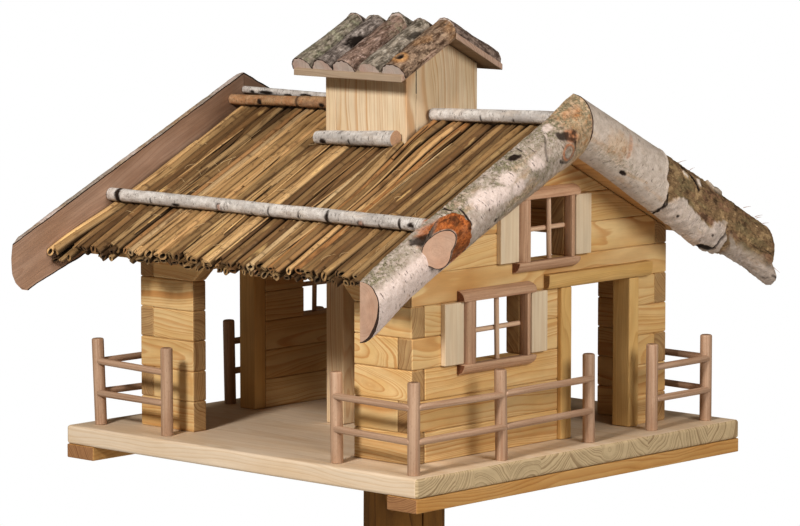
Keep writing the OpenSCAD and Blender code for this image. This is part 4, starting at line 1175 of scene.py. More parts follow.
    # loose fibres
    for _ in range(70):
        x0, l0, n0 = r.uniform(xlo + 6, xhi - 6), r.uniform(62, TREACH[sgn] + 10), 13.6
        ln, di = r.uniform(5, 16), r.uniform(0, 2 * PI)
        t = np.linspace(0, 1, 6)
        px = x0 + ln * t * math.cos(di) + 1.5 * np.sin(t * 4 + di)
        pl = np.clip(l0 + ln * t * math.sin(di), 58, TREACH[sgn] + 16)
        pn = n0 + 1.6 * np.sin(t * PI) * r.uniform(0.3, 1)
        tube(G, slope_pt(sgn, px, pl, pn), 0.18, 4, seed=int(r.integers(1e6)), tint=0.5, tone=1.0, m1=0.0, m2=0.0)
    G.build(name, node, sharp=50)


reeds(-1, "reed_thatch_front", "thatch_front")
reeds(1, "reed_thatch_back", "thatch_back")


# ---- half logs with the bark on
def blob(s, a, s0, a0, ds, da, ang=0.0, soft=0.35, seed=0, ragged=0.25, nsc=0.35):
    x, y = s - s0, a - a0
    c, n = math.cos(ang), math.sin(ang)
    u, w = (x * c + y * n) / ds, (-x * n + y * c) / da
    d = np.sqrt(u * u + w * w)
    if ragged:
        d = d + ragged * fbm(p3(s * nsc, a * nsc, 0 * s + seed), 3, seed)
    return 1 - smooth(1 - soft, 1 + soft, d)


def stroke(s, a, pts, w0, w1, seed=0, ragged=0.3):
    best = np.full(np.shape(s), 1e9)
    for i in range(len(pts) - 1):
        p, q = np.array(pts[i], float), np.array(pts[i + 1], float)
        d = q - p
        t = np.clip(((s - p[0]) * d[0] + (a - p[1]) * d[1]) / (d @ d), 0, 1)
        u = (i + t) / (len(pts) - 1)
        dist = np.hypot(s - p[0] - t * d[0], a - p[1] - t * d[1]) / (w0 + (w1 - w0) * u)
        best = np.minimum(best, dist)
    if ragged:
        best = best + ragged * fbm(p3(s * 0.5, a * 0.5, 0 * s + seed), 3, seed)
    return 1 - smooth(0.6, 1.15, best)


def half_log(name, node, sx, sy, Rr, Xf, z0, slope, reach, prof, seed, feat, bark, ns=230, na=58, extra=None, flat_mi=1, cut_mi=2):
    """A split log down a slope. reach(n, c) is how far out it is cut at n above its axis and c (0 flat, 1 bark); prof(s) gives its top, middle and bottom radius."""
    G = Geo(bark, M["cutflat"], M["cutface"], M["rim"])
    ca, sa = 1 / math.sqrt(1 + slope * slope), slope / math.sqrt(1 + slope * slope)
    N_ = np.array([0, sy * sa, ca])
    D_ = np.array([0, sy * ca, -sa])
    A_ = np.array([Xf * sx, 0, z0])
    X_ = np.array([sx, 0, 0.0])
    nf = 9
    th = np.linspace(-PI / 2, PI / 2, na)
    t = np.linspace(0, 1, ns)
    T, THH = np.meshgrid(t, th, indexing="ij")
    S0 = lambda n: -n * sa / ca
    S1 = lambda n, c: (reach(n, c) - n * sa) / ca
    n0 = Rr * np.sin(THH)
    s = S0(n0) + (S1(n0, np.cos(THH)) - S0(n0)) * T
    a = THH * Rr
    d, masks = feat(s, a, np.degrees(THH))
    q = p3(np.cos(THH) * 1.4 + seed, np.sin(THH) * 1.4, s / 22)
    pt, pm, pb = prof(s)
    sn = np.sin(THH)
    base = pm * np.cos(THH) ** 2 + np.where(sn > 0, pt, pb) * sn ** 2
    base = base + Rr * 0.012 * fbm(p3(np.cos(THH) * 0.9 + seed, np.sin(THH) * 0.9, s / 70), 3, seed) + 0.25 * fbm(q * 3.0, 3, seed + 3)
    rad = base + d
    n1 = rad * np.sin(THH)
    s = S0(n1) + (S1(n1, np.cos(THH)) - S0(n1)) * T
    v = A_ + s[..., None] * D_ + rad[..., None] * (np.cos(THH)[..., None] * X_ + np.sin(THH)[..., None] * N_)
    # the split flat, slightly uneven, from the top edge back to the bottom edge
    k = np.linspace(0, 1, nf + 2)[1:-1]
    k[0], k[-1] = 0.022, 0.978
    nk = rad[:, -1:] * (1 - k)[None] - rad[:, :1] * k[None]
    sk = S0(nk) + (S1(nk, 0 * nk) - S0(nk)) * t[:, None]
    hol = 0.5 * np.abs(fbm(p3(nk / 9, sk / 60, 0 * nk + seed), 3, seed + 8))
    flat = A_ + sk[..., None] * D_ + nk[..., None] * N_ + hol[..., None] * X_
    loop = np.concatenate([v, flat], 1)
    nl = na + nf
    off = rnd(seed).uniform(0, 900, 3)
    loc = loop - A_
    gco = np.stack([(loc @ X_) + 3.0, (loc @ N_) + 2.0, (loc @ D_) + off[2]], -1)
    f = grid_faces(ns, nl, closed_v=True, flip=(sx * sy > 0))
    mi = np.zeros((ns - 1, nl), int)
    mi[:, na - 1:] = flat_mi
    mi[:, na - 1] = mi[:, -1] = 3
    sm = {}
    for kk, m in masks.items():
        full = np.zeros((ns, nl))
        full[:, :na] = m
        sm[kk] = full.reshape(-1)
    G.add(loop.reshape(-1, 3), f, mi.reshape(-1), True, gco=gco.reshape(-1, 3), tint=0.0, tone=0.5, **sm)
    # sawn ends, drawn from the bark in to the flat: a bark rim, then wood at the outer end; the end at the ridge is
    # drawn in the bark material
    for e, idx in ((0, 0), (1, ns - 1)):
        rr_ = rad[idx]
        nn, xx = rr_ * np.sin(th), rr_ * np.cos(th)
        rimw = (1.3 + 0.4 * fbm(p3(th * 2.2, 0 * th + seed, 0 * th), 3, seed)) * (1 + (2.0 if e else 0) * smooth(15, -50, np.degrees(th)))
        u1 = np.clip(rimw / (xx + 1e-6), 0.02, 0.96)
        U = np.concatenate([np.zeros((1, na)), u1[None], u1[None] + (1 - u1[None]) * np.linspace(0, 1, 7)[1:, None]])
        Xc = xx[None] * (1 - U)
        Nc = np.broadcast_to(nn[None], Xc.shape)
        Cc = np.cos(th)[None] * (1 - U)
        Sc = S0(Nc) if e == 0 else S1(Nc, Cc)
        vv = A_ + Sc[..., None] * D_ + Xc[..., None] * X_ + Nc[..., None] * N_
        g2 = np.stack([Xc + 3.0, Nc + 2.0, Sc * 0 + off[2]], -1)
        fl = (e == 1) != (sx * sy > 0)
        ff = grid_faces(8, na, flip=not fl)
        mm = np.full((7, na - 1), cut_mi if e else 0)
        mm[0] = 3
        G.add(vv.reshape(-1, 3), ff, mm.reshape(-1), False, gco=g2.reshape(-1, 3), tint=0.0, tone=0.5, m1=0.45, m2=0.3, m3=0.6, m4=0.0, m5=0.0, m6=0.0)
    if extra:
        extra(G)
    return G.build(name, node, sharp=55)


def feat_rf(s, a, deg):
    """Right front log: speckled lichen above, pinkish bare bark in patches, the collar of the sawn-off side branch."""
    d = 0.45 * fbm(p3(s / 11, a / 11, 0 * s), 4, 21) + 0.25 * fbm(p3(s / 3, a / 3, 0 * s), 3, 22)
    B = lambda s0, a0, ds, da, ang, sd, rg=0.35, soft=0.3, nsc=0.22: blob(s, a, s0, a0, ds, da, ang, soft=soft, seed=sd, ragged=rg, nsc=nsc)
    S_ = lambda pts, w0, w1, sd, rg=0.3: stroke(s, a, pts, w0 * 2.0, w1 * 2.0, sd, rg * 0.6)
    # black marks
    m1 = np.maximum(B(92, 27, 6.5, 4.2, 0.5, 1, 0.5), 0.9 * B(37, 11, 6.5, 4.6, 0.4, 3, 0.6))
    m1 = np.maximum(m1, S_([(185, 36), (186, 32), (185, 27)], 0.9, 0.5, 4))
    m1 = np.maximum(m1, S_([(178, 22), (180, 14), (181, 8), (181.5, 3)], 0.5, 1.0, 5))
    m1 = np.maximum(m1, 0.8 * S_([(79, 35), (81, 27)], 0.4, 0.7, 6) + 0.5 * S_([(52, 22), (64, 10), (68, 2)], 0.5, 0.8, 7))
    m1 = np.maximum(m1, 0.9 * S_([(28, -3), (34, -13), (42, -15), (50, -10)], 1.2, 1.6, 8, 0.5))
    d = d - 0.8 * S_([(178, 22), (180, 14), (181, 8), (181.5, 3)], 1.2, 1.6, 5, 0) - 0.7 * S_([(185, 36), (186, 32), (185, 27)], 1.4, 0.8, 4, 0)
    for i, (ss, aa, w) in enumerate(((150, -13, 2.6), (120, -25, 2.6), (159, -18, 1.8), (96, -30, 1.6), (286, -22, 1.8), (74, -24, 1.8), (66, 30, 1.2), (48, 25, 1.0), (105, 33, 1.0), (72, 16, 0.8), (128, 34, 1.2))):
        m1 = np.maximum(m1, 0.85 * B(ss, aa, w, w * 0.6, 0.4 * i, 60 + i, 0.6))
    # rust beside the black mark near the ridge
    m2 = np.maximum(0.6 * B(30, 5, 8.5, 6.5, 0.9, 11, 0.4), 0.25 * B(10, 22, 10, 6, 0.2, 12, 0.5))
    m1 = np.maximum(m1, 0.8 * B(31, 6, 10.5, 8.0, 0.9, 14, 0.6) * smooth(-0.35, 0.25, fbm(p3(s / 3, a / 3, 0 * s + 8), 3, 16)))
    # small cut branch near the ridge: thick brown ring, pale middle
    e = np.hypot((s - 40) / 7.0, (a + 6) / 6.4) + 0.06 * fbm(p3(s / 2.5, a / 2.5, 0 * s), 2, 13)
    ring = np.exp(-((e - 1.05) / 0.20) ** 2)
    d = d + 1.5 * (1 - smooth(0.9, 1.9, e)) - 0.5 * (1 - smooth(0.62, 0.85, e))
    inner = 1 - smooth(0.66, 0.80, e)
    m2 = np.maximum(m2 * (1 - inner), ring * 0.7)
    m1 = np.maximum(m1 * (1 - smooth(1.9, 1.0, e)), 0.5 * np.exp(-((e - 0.86) / 0.07) ** 2) + 0.55 * np.exp(-((e - 1.32) / 0.09) ** 2) * smooth(0.2, -0.3, (a + 6) / 8))
    # collar of the side branch
    cl = blob(s, a, 215, 14, 23, 17, 0.2, soft=0.30, seed=5, ragged=0.45, nsc=0.16)
    d = d + 2.6 * blob(s, a, 219, 10, 26, 20, 0.3, soft=0.9, ragged=0) + 0.7 * cl * fbm(p3(s / 4, a / 4, 0 * s), 3, 6)
    low = blob(s, a, 203, -14, 12, 12, 0.5, soft=0.35, seed=15, ragged=0.4, nsc=0.2)
    m2 = np.maximum(m2, np.maximum(cl, low) * np.clip(0.85 + 0.4 * fbm(p3(s / 5, a / 5, 0 * s + 9), 3, 7), 0, 1))
    m1 = np.maximum(m1, 0.9 * B(236, 24, 9, 6.5, 0.5, 16, 0.5) + 0.8 * B(228, -14, 7, 5, 0.4, 17, 0.5) + 0.7 * B(193, -22, 7, 2.4, 0.9, 18, 0.5))
    # brown edge below
    m1 = np.maximum(m1, 0.75 * smooth(0.0, 0.45, fbm(p3(s / 6, a / 3, 0 * s + 3), 3, 33) + 0.12) * smooth(-33, -38, a) * smooth(30, 45, s) * smooth(205, 190, s))
    # bare pinkish patches; elsewhere lichen and speckle
    bare = np.maximum.reduce([B(139, 8, 17, 9, 0.3, 19), B(117, 14, 10, 7, 0.2, 20), B(112, 0, 9, 7, 0.0, 23), B(155, 14, 14, 10, 0.2, 24), B(40, 28, 6, 6, 0.0, 25), B(80, 6, 10, 7, 0.4, 26), smooth(192, 214, s) * smooth(17, 9, a) * (1 - cl)])
    m3 = np.clip(0.35 + 0.55 * smooth(4, 26, a) + 0.8 * fbm(p3(s / 26, a / 13, 0 * s), 3, 12), 0, 1) * (1 - 0.95 * bare) * (1 - cl)
    yel = np.clip(np.maximum(smooth(46, 18, s) * 0.9, 0.9 * B(284, -17, 26, 9, 0.1, 27, 0.3)) + 0.5 * smooth(-12, -28, a) * smooth(180, 160, s) + 0.35 * B(168, 30, 26, 7, 0.1, 28), 0, 1)
    return d, dict(m1=np.clip(m1, 0, 1), m2=np.clip(m2, 0, 1), m3=np.clip(m3, 0, 1), m4=0 * s, m5=np.clip(bare, 0, 1), m6=yel)


def feat_rb(s, a, deg):
    """Right back log: smooth pale bark near the ridge, torn bark below a ragged lip."""
    B = lambda s0, a0, ds, da, ang, sd, rg=0.35, soft=0.25, nsc=0.22: blob(s, a, s0, a0, ds, da, ang, soft=soft, seed=sd, ragged=rg, nsc=nsc)
    S_ = lambda pts, w0, w1, sd, rg=0.3: stroke(s, a, pts, w0, w1, sd, rg)
    edge = np.interp(a, [-49, -38, -25, -18, -8, -4, 5, 17, 30], [133, 135, 135, 132, 127, 121, 120, 119, 119]) + 1.6 * fbm(p3(a / 4, s / 12, 0 * s), 3, 41)
    below = smooth(-0.7, 0.7, s - edge)
    n = fbm(p3(s / 7, a / 7, 0 * s), 4, 42)
    d = 0.12 * n * (1 - below) + below * (-1.3 + 1.1 * n + 0.5 * fbm(p3(s / 2.6, a / 2.6, 0 * s), 3, 40))
    d = d + 0.6 * np.exp(-((s - edge + 1.2) / 1.6) ** 2)
    m1 = 0.85 * np.exp(-((s - edge - 1.0) / 1.1) ** 2) * smooth(-14, -22, a) + 0.45 * np.exp(-((s - edge - 1.0) / 1.6) ** 2) * smooth(0.0, 0.3, fbm(p3(a / 5, s / 8, 0 * s + 4), 3, 39))
    # white bark left along the lower side
    top = np.interp(s, [133, 138, 142, 156, 166, 184, 195, 204, 209, 225, 232, 240], [-25, -23, -15, -10, -13, -16, -18, -17, -11, -9, -22, -40]) + 2.2 * fbm(p3(s / 3.5, a / 6, 0 * s), 3, 43)
    st = smooth(0.8, -0.8, a - top) * smooth(131, 135, s)
    e2 = 238 + 0.1 * a + 12 * fbm(p3(a / 9, s / 20, 0 * s + 2), 3, 44)
    grey = smooth(-12, -26, a + 3 * fbm(p3(s / 9, a / 9, 0 * s + 6), 3, 54)) * smooth(240, 262, s)
    st = np.maximum(st, grey)
    m4 = below * (1 - st)
    d = d + 1.2 * st * below
    # torn dark patch near the top edge, with pale flakes
    tp = np.clip(S_([(146, 26), (154, 22), (163, 16), (171, 7)], 3.4, 2.6, 45, 0.5), 0, 1)
    m1 = np.maximum(m1, tp)
    d = d - 1.4 * tp
    fl = np.maximum(B(149, 13, 5.0, 1.8, -0.5, 46), B(171, 14, 4.6, 3.0, -0.9, 38))
    m4, m1 = m4 * (1 - fl), m1 * (1 - 0.9 * fl)
    d = d + 1.4 * fl
    ft = B(203, 25, 11.5, 6.5, -0.1, 47, 0.2, 0.12)
    d = d + 3.2 * ft
    m4 = m4 * (1 - 0.75 * ft)
    m1 = np.maximum(m1 * (1 - ft), 0.7 * np.exp(-((s - 216) / 1.2) ** 2) * smooth(9, 2, np.abs(a - 24)))
    # thick black scar, its pale upper lip, small holes
    sc_ = np.clip(np.maximum(S_([(212, -37), (219, -35.5), (226, -33)], 4.6, 3.4, 48, 0.3), S_([(224, -32), (224, -25), (225, -19), (227, -14), (228, -9)], 2.2, 1.0, 48, 0.3)), 0, 1)
    m1 = np.maximum(m1, sc_)
    d = d - 1.6 * sc_
    st2 = np.maximum(B(246, -20, 12, 3.2, -0.5, 36, 0.5), B(222, -8, 5, 2.2, 0.2, 37, 0.4))
    m4 = m4 * (1 - 0.7 * st2)
    m1 = np.maximum(m1, B(159, -26, 1.7, 1.4, 0.5, 49, 0.2) + B(209, -22, 1.6, 1.2, 0, 35, 0.2) + S_([(133, -15), (138, -23), (136, -30), (141, -42), (137, -47)], 1.2, 1.4, 53, 0.4) + 0.8 * B(328, -24, 5, 2.0, 0.2, 34, 0.5))
    eye = np.hypot((s - 69) / 5.0, (a + 23) / 2.6) + 0.12 * fbm(p3(s / 2, a / 2, 0 * s), 2, 33)
    m1 = np.maximum(m1, (1 - smooth(0.75, 1.1, eye)))
    d = d - 0.7 * (1 - smooth(0.4, 1.2, eye))
    m1 = np.maximum(m1, 0.7 * S_([(41, -26), (43, -23), (44.5, -20)], 0.5, 0.8, 50) + 0.5 * B(98, -4, 0.9, 0.8, 0, 32, 0) + 0.5 * B(104, -14, 0.9, 0.8, 0, 31, 0))
    m1 = np.maximum(m1, 0.5 * smooth(0.1, 0.5, fbm(p3(s / 10, a / 3, 0 * s + 7), 3, 51)) * smooth(236, 262, s) * smooth(-24, -34, a))
    yel = np.clip(np.maximum.reduce([0.95 * B(44, -4, 19, 13, 0.1, 30, 0.5, 0.5, 0.12), 0.7 * S_([(70, -21), (84, -19.5), (100, -17)], 2.2, 1.2, 29)]) * (1 - below), 0, 1)
    ora = 0.34 * np.maximum(B(58, 6, 3.2, 8.5, 0.1, 28, 0.4, 0.5), B(60, -6, 2.0, 3.2, 0.1, 27, 0.3)) * (1 - below)
    m3 = (0.25 + 0.6 * B(52, -16, 30, 9, 0, 26, 0.5, 0.5, 0.1)) * (1 - below) + 0.6 * ft + 0.35 * st * below
    return d, dict(m1=np.clip(m1, 0, 1), m2=ora, m3=np.clip(m3, 0, 1), m4=np.clip(m4, 0, 1), m5=np.clip(0.55 * st * below + 0.3 * (1 - below), 0, 1), m6=yel)


def feat_any(seed, peel=0.0):
    def f_(s, a, deg):
        r = rnd(seed)
        d = 0.3 * fbm(p3(s / 10, a / 10, 0 * s), 4, seed)
        m1, m2 = 0 * s, 0 * s
        for i in range(9):
            ss, aa = r.uniform(15, 290), r.uniform(-32, 32)
            k = blob(s, a, ss, aa, r.uniform(1.0, 5.0), r.uniform(0.8, 4.5), r.uniform(0, 3), seed=seed + i)
            m1 = np.maximum(m1, 0.85 * k)
            d = d - 0.5 * k
        ss, aa = r.uniform(60, 230), r.uniform(-14, 14)
        e = np.hypot((s - ss) / 7.5, (a - aa) / 6.5)
        ring = np.exp(-((e - 1.0) / 0.16) ** 2)
        d = d + 1.2 * (1 - smooth(0.85, 1.6, e)) - 0.6 * ring
        m1 = np.maximum(m1, ring * 0.7)
        m2 = 0.7 * (1 - smooth(0.7, 0.95, e))
        m4 = peel * smooth(0.1, 0.3, fbm(p3(s / 45, a / 16, 0 * s + seed), 3, seed + 60))
        m3 = np.clip(0.3 + fbm(p3(s / 34, a / 16, 0 * s), 2, seed + 5), 0, 1)
        m5 = smooth(0.0, 0.25, fbm(p3(s / 30, a / 14, 0 * s + 40), 3, seed + 7))
        m6 = 0.7 * smooth(0.1, 0.4, fbm(p3(s / 38, a / 16, 0 * s + 80), 3, seed + 9))
        return d - 0.9 * m4, dict(m1=np.clip(m1, 0, 1), m2=m2, m3=m3, m4=m4, m5=m5, m6=m6)
    return f_


def side_branch(G):
    """The sawn-off side branch: a flared collar, a thin dark bark ring and a pale cut."""
    P0, P1 = np.array([225.5, -188, 211.0]), np.array([241.6, -219.2, 203.2])
    a, b, d = frame_of(P1 - P0)
    L = np.linalg.norm(P1 - P0)
    nph, nu = 96, 34
    ph = np.linspace(0, 2 * PI, nph, endpoint=False)
    u = np.linspace(0, 1, nu)
    U, PH = np.meshgrid(u, ph, indexing="ij")
    dirs = np.cos(PH)[..., None] * a + np.sin(PH)[..., None] * b
    up = np.array([0.05, 0.80, 0.60])
    up -= d * (up @ d)
    up /= np.linalg.norm(up)
    side = np.clip(dirs @ up, -1, 1)
    low = np.clip(-(dirs @ up), 0, 1)
    nz = fbm(p3(np.cos(PH) * 2.2, np.sin(PH) * 2.2, U * 2.4), 4, 71)
    n2 = fbm(p3(np.cos(PH) * 7, np.sin(PH) * 7, U * 5), 3, 72)
    # the cut's outline: an uneven oval, longer up to the right as one stands before it
    rt, upw = np.array([0.7357, 0.6773, 0.0]), np.array([-0.0807, 0.0876, 0.9929])
    c1, c2 = dirs @ rt, dirs @ upw
    an = np.degrees(np.arctan2(c2, c1)) % 360
    oval = np.interp(an, [0, 11, 27, 37, 47, 58, 72, 94, 121, 145, 162, 185, 202, 219, 234, 248, 262, 278, 293, 314, 331, 353, 360],
                     [11.6, 13.3, 16.8, 19.0, 20.1, 19.6, 17.4, 14.1, 11.9, 12.1, 12.7, 14.0, 15.0, 16.3, 16.6, 15.9, 16.7, 16.4, 15.3, 13.3, 11.7, 10.9, 11.6]) / np.hypot(c1, c2)
    oval = oval + 0.5
    thick = 17.2 + 9.5 * np.clip(side, 0, 1) ** 1.2 + 1.5 * low
    rad = oval + (np.maximum(thick, oval + 1.5) - oval) * U ** 0.75 + (3.2 * nz + 2.0 * n2) * smooth(0.04, 0.4, U)
    # the collar closes into the log behind
    rad = rad * (1 - 0.86 * smooth(0.72, 1.0, U) ** 1.6)
    v = P1 - (U * (L + 4))[..., None] * d + rad[..., None] * dirs
    v[..., 0] = np.maximum(v[..., 0], 209.0)
    left = np.array([-0.75, -0.55, 0.35])
    left -= d * (left @ d)
    left /= np.linalg.norm(left)
    lf = smooth(0.45, 0.85, dirs @ left)
    raw = smooth(-0.85, -0.1, side) * smooth(0.0, 0.06, U) * np.clip(0.95 + 0.4 * nz, 0, 1) * (1 - 0.9 * lf)
    # dark (m1): the thin bark ring at the cut and noisy dark streaks, plus painted shade: darker on the underside, on
    # the left side and where the collar meets the log; the left side is partly the dark bark edge, and the raw orange
    # is held back there
    dark = np.maximum(0.55 * (1 - smooth(0.0, 0.05, U)), smooth(0.3, 0.8, low) * 0.75 * (1 - smooth(0.6, 0.95, U)))
    dark = np.maximum(dark, 0.85 * lf)
    dark = np.maximum(dark, 0.5 * smooth(-0.2, 0.6, dirs @ rt) * smooth(0.5, -0.3, dirs @ upw))
    dark = np.maximum(dark, 0.75 * smooth(0.66, 0.95, U) * smooth(-0.35, 0.25, n2 + nz))
    dark = np.maximum(dark, 0.6 * smooth(0.12, 0.42, nz + 0.5 * n2))
    dark = np.clip(dark * (0.85 + 0.6 * n2), 0, 1)
    gco = p3(rad * np.cos(PH), rad * np.sin(PH), U * L)
    G.add(v.reshape(-1, 3), grid_faces(nu, nph, closed_v=True), 0, True, gco=gco.reshape(-1, 3), tint=0.0, tone=0.5, m1=dark.reshape(-1), m2=np.clip(raw, 0, 1).reshape(-1), m3=0.2, m4=0.0, m5=0.0, m6=0.0)
    G.add(v[-1], [list(range(nph))], 0, False, gco=gco[-1], tint=0.0, tone=0.5, m1=0.8, m2=0.2, m3=0.0, m4=0.0, m5=0.0, m6=0.0)
    ring = v[0]
    rows = [ring]
    for k, dz in ((0.985, 0.3), (0.962, 0.1)):
        rows.append(P1 + (ring - P1) * k + d * dz)
    rr = np.stack(rows)
    f = grid_faces(3, nph, closed_v=True, flip=True)
    g2 = np.stack([p3((r_ - P1) @ a + 2.2, (r_ - P1) @ b - 1.4, 0 * ph + 40.0) for r_ in rr])
    G.add(rr.reshape(-1, 3), f, 3, False, gco=g2.reshape(-1, 3), tint=0.0, tone=0.5)
    # the cut itself, sawn a little unevenly
    ks = np.array([0.962, 0.8, 0.6, 0.4, 0.2, 0.04])
    face = P1 + (ring - P1)[None] * ks[:, None, None]
    loc = face - P1
    la, lb = loc @ a, loc @ b
    hgt = 0.1 + 0.22 * fbm(p3(la / 5, lb / 2.0, 0 * la), 3, 73)
    face = face + hgt[..., None] * d
    g3 = np.stack([la + 2.2, lb - 1.4, 0 * la + 40.0], -1)
    G.add(face.reshape(-1, 3), grid_faces(len(ks), nph, closed_v=True, flip=True), 2, True, gco=g3.reshape(-1, 3), tint=0.4, tone=0.5)
    G.add(face[-1], [list(range(nph))], 2, True, gco=g3[-1], tint=0.4, tone=0.5)


def hairs(G):
    r = rnd(77)
    D_, N_ = np.array([0, CA, -SA]), np.array([0, SA, CA])
    for s, deg, ln in ((254, 55, 5), (271, 46, 6), (272.5, 44, 4), (283, 40, 5), (319, -41, 5), (150, 72, 6), (168, 70, 5)):
        t = math.radians(deg)
        o = math.cos(t) * np.array([1, 0, 0]) + math.sin(t) * N_
        p = np.array([RXR, 0, LZ0]) + s * D_ + 24.0 * o
        u = np.linspace(0, 1, 6)[:, None]
        w = D_ * r.uniform(0.2, 0.8) + o * 1.0 + np.array([r.uniform(-0.3, 0.5), 0, 0])
        tube(G, p + u * w * ln + (u ** 2) * D_ * ln * 0.5, np.linspace(0.30, 0.08, 6), 4, seed=int(s), tint=0.0, tone=0.5, m1=0.3, m2=0.6)


def reach_rf(n, c):
    return 283.0 + 0 * n


def reach_rb(n, c):
    return np.interp(n, [-30, -20, -14, 30], [292.0, 284.0, 273.5, 272.0])


def reach_left(n, c):
    return np.interp(n, [-24, -21.4, -17.1, -8, 1.7, 15.7, 27], [284, 287, 294.5, 302, 306.4, 307.5, 305.5]) - 36.0 * c ** 0.8


def prof_rf(s):
    return np.interp(s, [0, 25, 137, 268, 312], [23.6, 21.2, 21.2, 21.2, 17.8]), 23.2 + 0 * s, np.interp(s, [0, 29, 50, 80, 109, 137, 268, 312], [28, 29, 26.6, 26.4, 25, 24, 24, 29.5])


def prof_rb(s):
    return np.interp(s, [0, 150, 185, 207, 245, 255, 290, 305, 342], [24, 25, 25, 22.3, 22.3, 21, 21, 20, 16.8]), 25.0 + 0 * s, np.interp(s, [0, 60, 112, 150, 165, 185, 200, 207, 225, 238, 250, 262, 305, 342], [25.2, 26.0, 29.5, 31.6, 33.0, 34.2, 35.6, 36.0, 34.6, 32, 29.0, 26, 26.4, 28.7])


def prof_left(s):
    return 27.0 + 0 * s, 26.2 - 2.0 * smooth(240, 300, s), np.interp(s, [0, 255, 314, 340], [27, 27, 21.6, 21.6])


half_log("half_log_right_front", "log_right_front", 1, -1, 24.5, RXR, 298.0, SL, reach_rf, prof_rf, 801, feat_rf, M["birch"], ns=330, na=84, extra=side_branch)
half_log("half_log_right_back", "log_right_back", 1, 1, 25.5, RXR, 298.0, SL, reach_rb, prof_rb, 802, feat_rb, M["birch_grey"], ns=380, na=84, extra=hairs)
half_log("half_log_left_front", "log_left_front", -1, -1, 27.0, RXL, 293.2, 0.4685, reach_left, prof_left, 803, feat_any(803), M["birch"])
half_log("half_log_left_back", "log_left_back", -1, 1, 27.0, RXL, 293.2, 0.4685, reach_left, prof_left, 804, feat_any(804, 0.7), M["birch_grey"])


# ---- rods
def on_slope(x, sgn, y, dia):
    """A point on the axis of a rod of diameter dia lying on the reeds."""
    return (x, sgn * y, RZ0 + RT + TH - SL * y + dia / 2 / CA)


def rod(G, P, Q, dia, seed, mi, cap, scars=(), raw=None, joint=None, rings=0.0, taper=0.0):
    P, Q = np.asarray(P, float), np.asarray(Q, float)
    r = rnd(seed)
    L = np.linalg.norm(Q - P)
    n = int(L / 1.6)
    s = np.linspace(0, L, n)
    end = np.sin(PI * np.clip(s / L, 0, 1)) ** 0.5
    bow = 0.6 * vnoise(p3(s / 90, 0 * s + seed, 0 * s), seed) * end
    bo2 = 0.35 * vnoise(p3(s / 70, 0 * s + seed, 0 * s + 4), seed + 1) * end
    if joint:
        bow = bow + 0.9 * smooth(joint - 1.5, joint + 1.5, s)
    path = P + (s / L)[:, None] * (Q - P) + p3(0 * s, bow, bo2 - 0.1)
    S = 26
    th = np.linspace(0, 2 * PI, S, endpoint=False)
    SS, TT_ = np.meshgrid(s, th, indexing="ij")
    q = p3(np.cos(TT_) * 1.2 + seed, np.sin(TT_) * 1.2, SS / 14)
    rad = dia / 2 * (0.955 + 0.035 * fbm(q, 3, seed)) + 0.12 * fbm(q * 4, 2, seed + 1)
    rad = rad * (1 + taper * (2 * SS / L - 1))
    m1, m2 = 0 * SS, 0 * SS
    for i, (ss, ang, ds, da, kind) in enumerate(scars):
        dd = (TT_ - math.radians(ang) + PI) % (2 * PI) - PI
        e = np.hypot((SS - ss) / ds, dd / math.radians(da)) + 0.3 * fbm(p3(SS / 2, np.cos(TT_) * 2, np.sin(TT_) * 2), 2, seed + i)
        k = 1 - smooth(0.7, 1.2, e)
        if kind == "bump":
            rad = rad + 0.7 * (1 - smooth(0.5, 1.8, e))
            m2 = np.maximum(m2, 0.5 * k)
            m1 = np.maximum(m1, np.exp(-((e - 1.0) / 0.25) ** 2) * 0.8)
        else:
            m1 = np.maximum(m1, k)
    if raw:
        m2 = np.maximum(m2, smooth(raw[0], raw[0] + 4, SS) * raw[1] * np.clip(0.7 + fbm(q * 3, 3, seed + 9), 0, 1))
    if joint:
        rad = rad * (1 + 0.10 * smooth(joint - 1, joint + 1, SS)) - 0.9 * np.exp(-((SS - joint) / 1.0) ** 2)
        m1 = np.maximum(m1, np.exp(-((SS - joint) / 1.3) ** 2))
    if rings:
        m1 = np.maximum(m1, rings * smooth(0.22, 0.42, fbm(p3(SS / 1.1, np.cos(TT_) * 1.1, np.sin(TT_) * 1.1 + seed), 2, seed + 4)) * smooth(-0.1, 0.25, fbm(p3(SS / 14, np.cos(TT_), np.sin(TT_) + seed), 2, seed + 5)))
    b = np.array([0, 1.0, 0])
    c = np.array([0, 0, 1.0])
    v = path[:, None] + rad[..., None] * (np.cos(TT_)[..., None] * b + np.sin(TT_)[..., None] * c)
    off = r.uniform(0, 700, 3)
    gco = p3(rad * np.cos(TT_) + off[0], rad * np.sin(TT_) + off[1], SS + off[2])
    G.add(v.reshape(-1, 3), grid_faces(n, S, closed_v=True, flip=True), mi, True, gco=gco.reshape(-1, 3), tint=r.uniform(-1, 1), tone=r.uniform(0, 1), m1=np.clip(m1, 0, 1).reshape(-1), m2=np.clip(m2, 0, 1).reshape(-1), m3=0.35, m4=0.0)
    ids = list(range(S))
    for i in (0, n - 1):
        ring = v[i]
        cen = path[i]
        inn = cen + (ring - cen) * 0.86
        both = np.concatenate([ring, inn])
        gg = np.concatenate([gco[i], gco[i]]) - np.array([off[0], off[1], 0])
        ff = [[k, (k + 1) % S, S + (k + 1) % S, S + k] for k in range(S)]
        fg = [[S + k for k in ids]]
        if i == 0:
            G.add(both, ff, cap + 1, False, gco=gg, tint=0.0, tone=0.5)
            G.add(both, fg, cap, False, gco=gg, tint=0.0, tone=0.5)
        else:
            G.add(both, [x[::-1] for x in ff], cap + 1, False, gco=gg, tint=0.0, tone=0.5)
            G.add(both, [x[::-1] for x in fg], cap, False, gco=gg, tint=0.0, tone=0.5)


